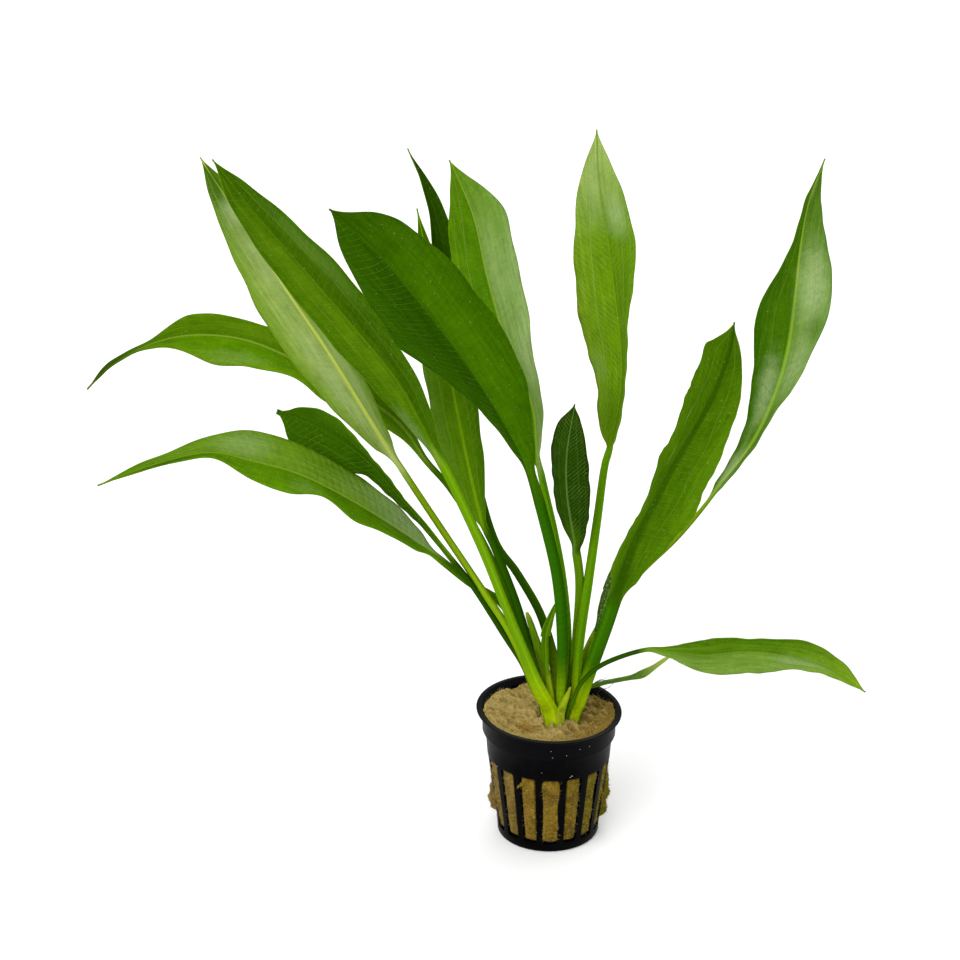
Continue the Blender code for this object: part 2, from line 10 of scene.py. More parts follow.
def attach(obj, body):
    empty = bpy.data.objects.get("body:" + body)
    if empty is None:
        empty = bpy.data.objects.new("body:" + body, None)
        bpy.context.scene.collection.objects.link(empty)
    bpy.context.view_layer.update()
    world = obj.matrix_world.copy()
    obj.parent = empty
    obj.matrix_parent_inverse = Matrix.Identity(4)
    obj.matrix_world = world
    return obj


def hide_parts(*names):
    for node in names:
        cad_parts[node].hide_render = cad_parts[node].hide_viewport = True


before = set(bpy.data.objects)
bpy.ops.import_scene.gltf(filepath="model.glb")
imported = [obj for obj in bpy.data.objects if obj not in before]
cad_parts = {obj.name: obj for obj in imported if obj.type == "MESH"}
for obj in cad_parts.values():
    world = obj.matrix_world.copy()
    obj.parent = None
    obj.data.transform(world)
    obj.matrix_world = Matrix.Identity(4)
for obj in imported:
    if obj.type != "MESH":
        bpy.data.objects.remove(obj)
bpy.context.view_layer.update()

MM = 0.001
BODY = "root"

# The pot, in millimetres
RIM_RADIUS = 27.5
POT_HEIGHT = 51.5
BASE_RADIUS = 19.4
WALL = 1.2
FLOOR = 1.3
FLANGE = 2.0
LIP = 1.0
COLLAR_RADIUS = RIM_RADIUS - 2.3
COLLAR_BOTTOM = POT_HEIGHT - 9.0
WALL_TOP_RADIUS = COLLAR_RADIUS - 1.2
SLOT_TOP_RADIUS = WALL_TOP_RADIUS - 0.7
FLOOR_RADIUS = BASE_RADIUS - 2.6
RIM_DIP = 1.1
SLOT_COUNT = 16
SLOT_PITCH = 360.0 / SLOT_COUNT
SLOT_ANGLE = 15.4
SLOT_FIRST = -87.4
SLOT_BOTTOM = 3.6
SLOT_TOP = 33.0
# The outside of the tapered wall, as (radius, height)
WALL_LEVELS = ((BASE_RADIUS, SLOT_BOTTOM), (SLOT_TOP_RADIUS, SLOT_TOP), (WALL_TOP_RADIUS, COLLAR_BOTTOM))
EDGE_ROUND = 0.14
POT_STEPS = 192

# Mineral wool
WOOL_COLUMNS_PER_SLOT = 24
WOOL_WALL_RINGS = 70
WOOL_TOP_RINGS = 72
WOOL_GAP = 0.25
# The middle of the hollow in its top, which is painted a darker ochre as painted shade
WOOL_HOLLOW = (-9.5, -14.5, 49.0)
# How the wool spills through a slot: its reach in shares of the slot's half width, how much further it comes
# out, the heights between which it does, and over what height it fades at the top
PLAIN_SLOT = (1.0, 0.0, SLOT_BOTTOM, SLOT_TOP, 3.0)
SLOT_TUFTS = {
    0: (1.2, 1.3, 3.6, 33.0, 3.0),
    4: (1.0, 3.8, 4.3, 33.0, 24.0),
    12: (1.0, 2.7, 6.8, 29.0, 17.0),
    13: (1.0, 1.0, 5.0, 33.0, 3.0),
}
# Torn pieces of wool: name, middle, half sizes, turn in degrees, curl and seed
FLAKES = (
    ("curled_flake", (-4.2, -12.6, 51.4), (2.5, 1.2, 0.5), (14, -14, 10), 0.5, 1.0),
    ("slot_tuft", (-9.2, -20.9, 31.0), (2.3, 0.7, 0.4), (68, -38, 28), 0.4, 2.0),
    ("slot_tuft_end", (-11.0, -19.9, 28.9), (1.3, 0.45, 0.3), (64, -50, 34), 0.3, 5.0),
    ("torn_side_right", (20.4, -4.4, 17.5), (1.3, 4.2, 0.5), (86, 8, 84), 0.3, 3.0),
)
# Dust on the pot: angle round it in degrees, height and half length
DUST = (
    (-62.3, 46.6, 0.2), (-52.9, 46.9, 0.1), (-87.9, 46.9, 0.1), (-74.5, 44.8, 0.14), (-86.5, 44.1, 0.15),
    (-67.9, 34.7, 0.36), (-69.5, 34.2, 0.2), (-146.0, 32.8, 0.18), (-102.0, 8.6, 0.12), (-96.0, 36.5, 0.08),
)
# Loose fibres and crumbs; a tree's inputs come as (name, kind) rows
SCATTER_INPUTS = (
    ("Geometry", "Geometry"),
    ("Count Per Area", "Float"),
    ("Seed", "Int"),
    ("Length", "Float"),
    ("Thickness", "Float"),
    ("Tilt", "Float"),
    ("Lowest", "Float"),
    ("Surface", "Material"),
)
FIBRES = {
    "Count Per Area": 1.55e6, "Seed": 11, "Length": 1.0 * MM, "Thickness": 0.035 * MM, "Tilt": 4.0,
    "Lowest": 4.0 * MM,
}
CRUMBS = {"Count Per Area": 2.4e5, "Seed": 4, "Length": 0.26 * MM, "Tilt": 1.0, "Lowest": 45.0 * MM}

# Crown, with its profile as (radius, height)
CROWN_AXIS = (4.7, -6.0)
CROWN_TOP = 55.4
CROWN_PROFILE = (
    (3.0, 40.0), (3.3, 44.0), (3.8, 47.0), (4.2, 49.0), (4.4, 51.0), (4.5, 53.0), (4.2, 54.4), (3.4, 55.2),
    (2.0, 55.6), (0.8, 55.7),
)
FOOT_HEIGHT = CROWN_TOP + 0.8
SHEATH_BOTTOM = 47.2
SHEATH_GATHER = 0.62
# How far up its stalk a sheath reaches, and how thick it is
SHEATH_REACH = 32.0
SHEATH_THICKNESS = 1.35
# Where the broadest sheaths enter the wool; the others gather towards the crown's axis
SHEATH_ENDS = {
    "leaf_left_tall": (1.8, -13.6, 47.6),
    "leaf_left_pale": (0.0, -11.4, 47.6),
    "leaf_front_broad": (4.0, -10.3, 47.4),
    "front_sheath": (4.6, -12.6, 48.4),
    "leaf_right_wavy": (7.8, -9.6, 47.4),
}

# Leaf meshes: steps between two places of a route, rings along the stalk and the blade, and columns from the
# rib to the edge
CURVE_STEPS = 24
STALK_RINGS = 34
BLADE_RINGS = 110
HALF_COLUMNS = 13
COLUMN_POWER = 1.55
# A blade's thickness, its arch and its nicks in shares of its width, its fine ripple and its midrib
BLADE_THICKNESS = 0.36
EDGE_THICKNESS = 0.12
BLADE_ARCH = 0.05
RIPPLE = 0.16
EDGE_NICK = 0.018
RIB_GROOVE = 0.18
RIB_RIDGE = 0.75
FRONT = (0.02, -0.91, 0.41)
BACK = (-0.02, 0.91, -0.41)
# What a round stalk stores as its distance from an edge
NO_EDGE = 3.0

# Leaf tissue: the masks that the veins give, the heights between which a stalk turns pale, and which patches
# are glossy, by the sum of their colour's values; these pale patches are painted sheen
VEIN_MASKS = ("Rib", "Lateral", "Cross", "Net")
VEIN_RELIEF = 0.25
STALK_GREEN_FROM = 82.0
STALK_PALE_TO = 54.0
GLOSSY_FROM = 400
PATCH_COAT = 0.16

# Stem and root meshes
SHOOT_RINGS = 60
SHOOT_SIDES = 20
ROOT_RINGS = 30
ROOT_SIDES = 7

# Camera, lights and the white floor; places are in metres and angles in degrees
CAMERA_PLACE = (0.0, -1.05458, 0.62359)
CAMERA_PITCH = 24.3706
CAMERA_YAW = 1.4169
LENS = 118.73
WORLD_STRENGTH = 0.85
KEY_STRENGTH = 1.7
BACK_STRENGTH = 0.8
STAGE_LIGHT = 1.35
STAGE_REACH = 6.0
STAGE_DROP = 0.0002

# Each leaf: the places along its midrib, the share of it where the blade starts, the half widths left and
# right, the way its upper side faces, its turns about the midrib and its fold in degrees, the stalk's radii,
# and the size, count and start of the waves along its edges
LEAVES = {
    "leaf_left_pale": dict(
        route=(
            (-1.2, -8.2, FOOT_HEIGHT), (-3.5, -9, 61), (-7.5, -10, 72), (-15.3, -10.2, 89.6),
            (-25.5, -8, 105.6), (-42.9, -4, 132.1), (-57.8, 2, 154), (-81, 14, 189), (-98, 21, 213),
            (-114, 27, 237), (-128, 32, 258),
        ),
        blade_from=0.445,
        left=(5, 10, 13.8, 16, 16, 14.5, 12.4, 9.8, 5.6),
        right=(4.3, 8.4, 12.5, 15.2, 15.4, 13.7, 11, 8.8, 6.4),
        faces=FRONT,
        turns=(-35, -45, -48, -46, -38),
        fold=14,
        stalk=(1.6, 1.4, 1.3),
        wave=(0.5, 2.0, 0.1),
    ),
    "leaf_left_tall": dict(
        route=(
            (0.6, -10.8, FOOT_HEIGHT), (-1.2, -12.7, 61), (-4.8, -13, 69), (-9, -13, 81), (-16.5, -13, 101),
            (-24.3, -11.5, 122), (-35.2, -9, 147), (-43.8, -7, 164), (-56, -3, 186), (-72, 2, 205),
            (-89, 7, 224), (-107, 12, 244), (-122, 18, 262),
        ),
        blade_from=0.44,
        left=(4.2, 7.2, 8.8, 9.6, 9.7, 9.2, 8.6, 7, 4.6),
        right=(4.8, 7, 8, 10, 10.6, 10.4, 9, 7.6, 4.4),
        faces=FRONT,
        turns=(-18, -12, -4, 8, 15),
        fold=10,
        stalk=(1.9, 1.75, 2.0),
        wave=(0.5, 2.5, 0.4),
    ),
    "leaf_front_broad": dict(
        route=(
            (4.2, -8.9, FOOT_HEIGHT), (4.4, -10.2, 62), (4.9, -12, 86), (3, -15, 112), (-1.6, -19, 136),
            (-7.8, -25, 161), (-17, -31, 183), (-29, -37, 206), (-43, -44, 229), (-59, -51.5, 252.5),
            (-74.6, -62, 272),
        ),
        blade_from=0.38,
        left=(3, 8, 13.5, 17, 18, 17.5, 16.4, 13.9, 9.6),
        right=(3.5, 8, 13.6, 18, 22, 18.8, 15.4, 12.6, 7.6),
        faces=BACK,
        turns=(-52, -52, -38, -14, -26),
        fold=12,
        stalk=(2.2, 2.3, 2.2),
        wave=(0.4, 2.5, 0.2),
    ),
    "leaf_left_arched_high": dict(
        route=(
            (1.0, -0.2, FOOT_HEIGHT), (-0.7, 2, 61), (-7, 5, 76), (-15, 10, 92), (-25.7, 18, 112.7),
            (-37.4, 26, 129.5), (-47.2, 32, 139), (-58, 38, 152), (-76, 44, 163), (-98, 51, 172),
            (-117, 57, 177.4), (-137, 64, 176.2), (-155, 71, 169), (-171, 76, 158), (-181, 79, 147),
        ),
        blade_from=0.37,
        left=(3.6, 6.4, 9.8, 7.4, 9.3, 11.4, 5.8, 4, 3.4),
        right=(3.2, 6.4, 9.6, 9.8, 7.4, 9.6, 6.2, 2.6, 3.4),
        faces=FRONT,
        turns=(-10, 5, 10, 20, -10, -20, 40, 64, 52),
        fold=14,
        stalk=(1.5, 1.3, 1.2),
        wave=(0.5, 2.5, 0.3),
    ),
    "leaf_left_arched_low": dict(
        route=(
            (-1.2, -1.7, FOOT_HEIGHT), (-3.7, 0.3, 61), (-8, 2.5, 74), (-11.5, 3.5, 83), (-19, 2, 95.5),
            (-30, -2, 105), (-42, -7, 118), (-55, -11, 130), (-72, -16, 144), (-90, -22, 157),
            (-107, -28, 165), (-122, -34, 170.6), (-141, -41, 168.4), (-159, -48, 163.8),
        ),
        blade_from=0.34,
        left=(4.9, 7.5, 11.2, 6.2, 10.2, 9.6, 4.4, 3.8, 2.5),
        right=(4.8, 8.4, 10.1, 10.3, 10.2, 11, 6.6, 3.7, 2.6),
        faces=FRONT,
        turns=(46, 48, 45, 30, 40, 50, 50),
        fold=16,
        stalk=(1.6, 1.6, 1.5),
        wave=(0.4, 2.0, 0.6),
    ),
    "leaf_left_short": dict(
        route=(
            (-1.9, -5.3, FOOT_HEIGHT), (-5.1, -5, 61), (-9.6, -6, 73), (-16.9, -7, 86), (-27.7, -8, 105),
            (-38, -9, 120), (-47, -9, 133), (-57, -9, 145.5), (-64.5, -9, 155), (-74, -9, 163.5),
            (-86, -9, 171), (-99, -8, 176),
        ),
        blade_from=0.44,
        left=(1.8, 2.4, 3.2, 3.2, 5, 10, 9.8, 9.4, 10),
        right=(2.3, 3.2, 4.6, 5, 5.4, 8, 9.8, 11.2, 9.4),
        faces=FRONT,
        turns=(-52, -58, -58, -42, -40),
        fold=22,
        stalk=(1.6, 1.5, 1.2),
        wave=(0.6, 3.0, 0.0),
    ),
    "leaf_back_left": dict(
        route=(
            (1.1, -3.8, FOOT_HEIGHT), (-0.4, -3, 61), (-7.6, -1, 79), (-13.8, 3, 97.4), (-20.8, 8, 114.2),
            (-25.6, 12, 124), (-31, 20, 144), (-36, 28, 166), (-41, 38, 189), (-46, 48, 211),
            (-51, 58, 230),
        ),
        blade_from=0.36,
        left=(6.4, 9.2, 9.8, 9.9, 10, 9.5, 8, 5, 2.4),
        right=(5.3, 9.2, 10.1, 10.1, 10, 9.5, 8, 5, 2.2),
        faces=FRONT,
        turns=(-45, -38, -30, -30, -30),
        fold=12,
        stalk=(1.9, 1.7, 1.5),
        wave=(0.5, 2.0, 0.5),
    ),
    "leaf_back_dark": dict(
        route=(
            (3.5, 0.1, FOOT_HEIGHT), (3, 2.6, 61), (1.2, 4.3, 72), (-3.7, 8, 87.5), (-12.5, 13, 101.8),
            (-21.2, 20, 112.4), (-28.3, 30, 136), (-32, 42, 164), (-38, 56, 194), (-44.2, 69, 222),
            (-55.4, 83, 245),
        ),
        blade_from=0.4,
        left=(3, 4.6, 5.5, 6, 6, 5.5, 5.1, 3, 1.3),
        right=(3.2, 3.2, 5, 6, 6, 5.5, 5, 4.2, 2.7),
        faces=FRONT,
        turns=(30, 30, 10, 35, 60),
        fold=14,
        stalk=(1.9, 1.6, 1.4),
        wave=(0.4, 2.0, 0.2),
    ),
    "leaf_back_glossy": dict(
        route=(
            (5.3, -3.5, FOOT_HEIGHT), (5.6, -2.6, 61), (6.3, -0.5, 82), (4.2, 3, 104.3), (0.7, 7.5, 123),
            (-4.7, 15, 146), (-7, 22, 166), (-16, 30, 185), (-24, 41, 208), (-30, 51, 230), (-39, 61, 248),
        ),
        blade_from=0.42,
        left=(7.1, 9.8, 11.7, 12, 13, 12.6, 11.8, 10.6, 6.8),
        right=(4.5, 6.8, 9.6, 11.3, 11.9, 12.1, 11.9, 11.2, 6.3),
        faces=FRONT,
        turns=(-65, -42, -10, 5, 35),
        fold=20,
        stalk=(2.0, 1.9, 1.5),
        wave=(0.6, 2.5, 0.0),
    ),
    "leaf_centre_tall": dict(
        route=(
            (7.8, -7.8, FOOT_HEIGHT), (9.2, -8.6, 61), (10.9, -8, 85), (13.8, -6, 108), (16.9, -2, 132),
            (19.3, 2, 151), (22, 5, 160), (25, 10, 176), (25, 15, 193), (22, 21, 214), (19, 27, 234),
            (16, 31, 253), (15, 34, 269),
        ),
        blade_from=0.46,
        left=(10, 12.8, 15.3, 16.3, 14.6, 13, 11.2, 8.9, 4.9),
        right=(5.6, 6.4, 5.6, 6, 9.8, 11.4, 10.2, 8.4, 4.6),
        faces=FRONT,
        turns=(-62, -63, -58, -38, -20, -10, 8),
        fold=16,
        stalk=(2.2, 2.0, 1.5),
        wave=(0.4, 3.0, 0.3),
    ),
    "leaf_centre_small": dict(
        route=(
            (7.7, -3.8, FOOT_HEIGHT), (8.8, -3.2, 61), (10, -4, 82), (11, -5, 106), (9, -7, 124),
            (6, -11, 145), (5.6, -15, 164), (8, -18, 183.8),
        ),
        blade_from=0.49,
        left=(3.6, 6, 8, 9.2, 9, 8, 6.9, 5.4, 3.3),
        right=(5.5, 8.6, 9.4, 9.4, 8.8, 7.4, 6.5, 5.4, 3.9),
        faces=BACK,
        turns=(-50, -50, -42, -10, 35),
        fold=14,
        stalk=(1.8, 1.8, 1.8),
        wave=(0.3, 2.0, 0.0),
    ),
    "leaf_right_wavy": dict(
        route=(
            (10, -9.6, FOOT_HEIGHT), (11.6, -11, 61), (16.1, -13, 78), (20.9, -17, 96), (25, -21, 113),
            (30, -27, 134), (37.5, -34, 155), (42.6, -39, 169.5), (49, -45, 185), (55.6, -52, 203),
            (59.5, -57, 219), (61, -62, 233),
        ),
        blade_from=0.27,
        left=(5.6, 9, 11.9, 14.4, 13.3, 12.8, 9.6, 8, 4),
        right=(6, 8, 6.8, 16, 12.2, 17, 12.4, 9.6, 7.8),
        faces=BACK,
        turns=(-10, -45, -50, -42, -15, 15),
        fold=26,
        stalk=(2.4, 2.6, 2.5),
        wave=(0.7, 4.5, 0.1),
    ),
    "leaf_right_outer": dict(
        route=(
            (10.2, -2.8, FOOT_HEIGHT), (12.3, -1.3, 61), (13.3, 0, 74.6), (20.4, 7, 86.7), (33.6, 17, 100),
            (48.5, 22, 114), (64, 31, 131), (76, 38, 145.5), (84, 46, 161), (88.5, 53, 176),
            (90.8, 60, 195), (92.4, 66, 214), (95.3, 71, 230), (101, 75, 245),
        ),
        blade_from=0.39,
        left=(3, 5.8, 7.8, 10.3, 12.6, 13.2, 8.8, 5.6, 4.8),
        right=(5, 8.2, 6.4, 9.6, 11, 13.3, 11.9, 9.4, 4.2),
        faces=FRONT,
        turns=(-60, -62, -50, -20, 10, 50, 55),
        fold=24,
        stalk=(1.3, 1.1, 0.9),
        wave=(0.5, 3.0, 0.2),
    ),
    "leaf_right_low": dict(
        route=(
            (7.1, -11.6, FOOT_HEIGHT), (8.7, -14.2, 61.5), (12, -16.8, 71.5), (20, -18.5, 80.2),
            (34.3, -20, 86.8), (43, -24, 88.3), (56, -30, 90.4), (70, -35, 94.7), (83, -40, 96),
            (99, -46, 94), (113, -52, 87.6),
        ),
        blade_from=0.33,
        left=(2.4, 3.6, 6.1, 7.8, 6.2, 6.7, 6.4, 6.1, 4.6),
        right=(2.4, 3.9, 6.6, 8, 7.6, 6.2, 4.2, 5.2, 5),
        faces=FRONT,
        turns=(-25, -10, 25, 20, -45, -50),
        fold=20,
        stalk=(0.9, 0.95, 0.85),
        wave=(0.5, 2.5, 0.5),
    ),
    "leaf_right_sliver": dict(
        route=(
            (10, -5.6, FOOT_HEIGHT), (12.5, -5.4, 61), (16.2, -4, 76), (18.9, -2, 88), (21, 0, 98),
            (25, 1, 109), (28, 2, 120),
        ),
        blade_from=0.4,
        left=(2.5, 2.7, 3, 3, 3.1, 3.4, 3.5, 3.2, 2.4),
        right=(2.2, 2.6, 3, 3.2, 3.2, 2.8, 2.4, 1.8, 1.1),
        faces=FRONT,
        turns=(0, 20, 30),
        fold=10,
        stalk=(1.4, 1.5, 1.2),
        wave=(0.2, 2.0, 0.0),
    ),
    "leaf_newest": dict(
        route=(
            (1.9, -8.6, FOOT_HEIGHT), (0.8, -9.6, 61), (-1.5, -8.5, 77.5), (-1.7, -8, 86), (0, -8, 93),
            (2.8, -8, 101.5),
        ),
        blade_from=0.3,
        left=(1.3, 1.8, 2.1, 2.2, 2.1, 1.8, 1.5, 1.1, 0.7),
        right=(1.3, 1.8, 2.1, 2.2, 2.1, 1.8, 1.5, 1.1, 0.7),
        faces=FRONT,
        turns=(0, 20, 0),
        fold=10,
        stalk=(0.8, 0.9, 0.8),
        wave=(0.0, 2.0, 0.0),
    ),
}
# Stubs, sheath and runner: the places along each and its radii
SHOOTS = {
    "stalk_stub_left": dict(
        route=((1.3, -6.4, FOOT_HEIGHT), (0.2, -6.4, 61), (-2, -5.5, 72), (-5, -4.5, 82), (-8.6, -2.5, 93)),
        radii=(1.7, 1.9, 1.7, 1.4, 0.95),
    ),
    "stalk_stub_centre": dict(
        route=((6.2, -6, FOOT_HEIGHT), (7, -6, 62), (8, -6, 69), (9, -6, 76)),
        radii=(0.8, 0.9, 0.8, 0.6),
    ),
    "front_sheath": dict(
        route=((4.4, -12.2, FOOT_HEIGHT), (5.2, -13.0, 59.5), (6.5, -13.2, 63.2), (7.9, -13, 67.4)),
        radii=(1.6, 1.45, 1.05, 0.4),
    ),
    "runner": dict(
        route=(
            (9.2, 0.1, FOOT_HEIGHT), (11.5, 2.5, 58.8), (16.2, 4, 59), (22, 7.5, 58.8), (30, 12, 58.2),
            (35, 15, 58.3), (38, 17, 59.1), (40.6, 19, 60), (43, 20.6, 61), (45.9, 22, 62.5),
        ),
        radii=(1.1, 1.0, 0.95, 0.9, 0.9, 0.9, 1.0, 1.6, 1.15, 0.85, 0.8),
    ),
}

# What each leaf looks like, in everyday colour values of 0 to 255. Left and right are seen from its upper
# side, and each half has a second colour at its margin; these colours and the tip's mix painted sheen,
# painted light and painted shade into the leaf's own greens. Each patch is (across, along, width, length,
# strength, colour), in shares of the half width and of the blade; most patches are painted sheen, painted
# light and painted shade, and a few are the leaf's own tints, such as dry brown tips.
# Patch colours: a painted sheen, a softer painted sheen, painted light, painted shade, a dark green and a dry
# brown
SHEEN = (188, 208, 146)
SOFT_SHEEN = (146, 176, 96)
LIGHT = (120, 160, 24)
SHADE = (34, 66, 2)
DARK = (30, 54, 6)
BROWN = (74, 44, 14)
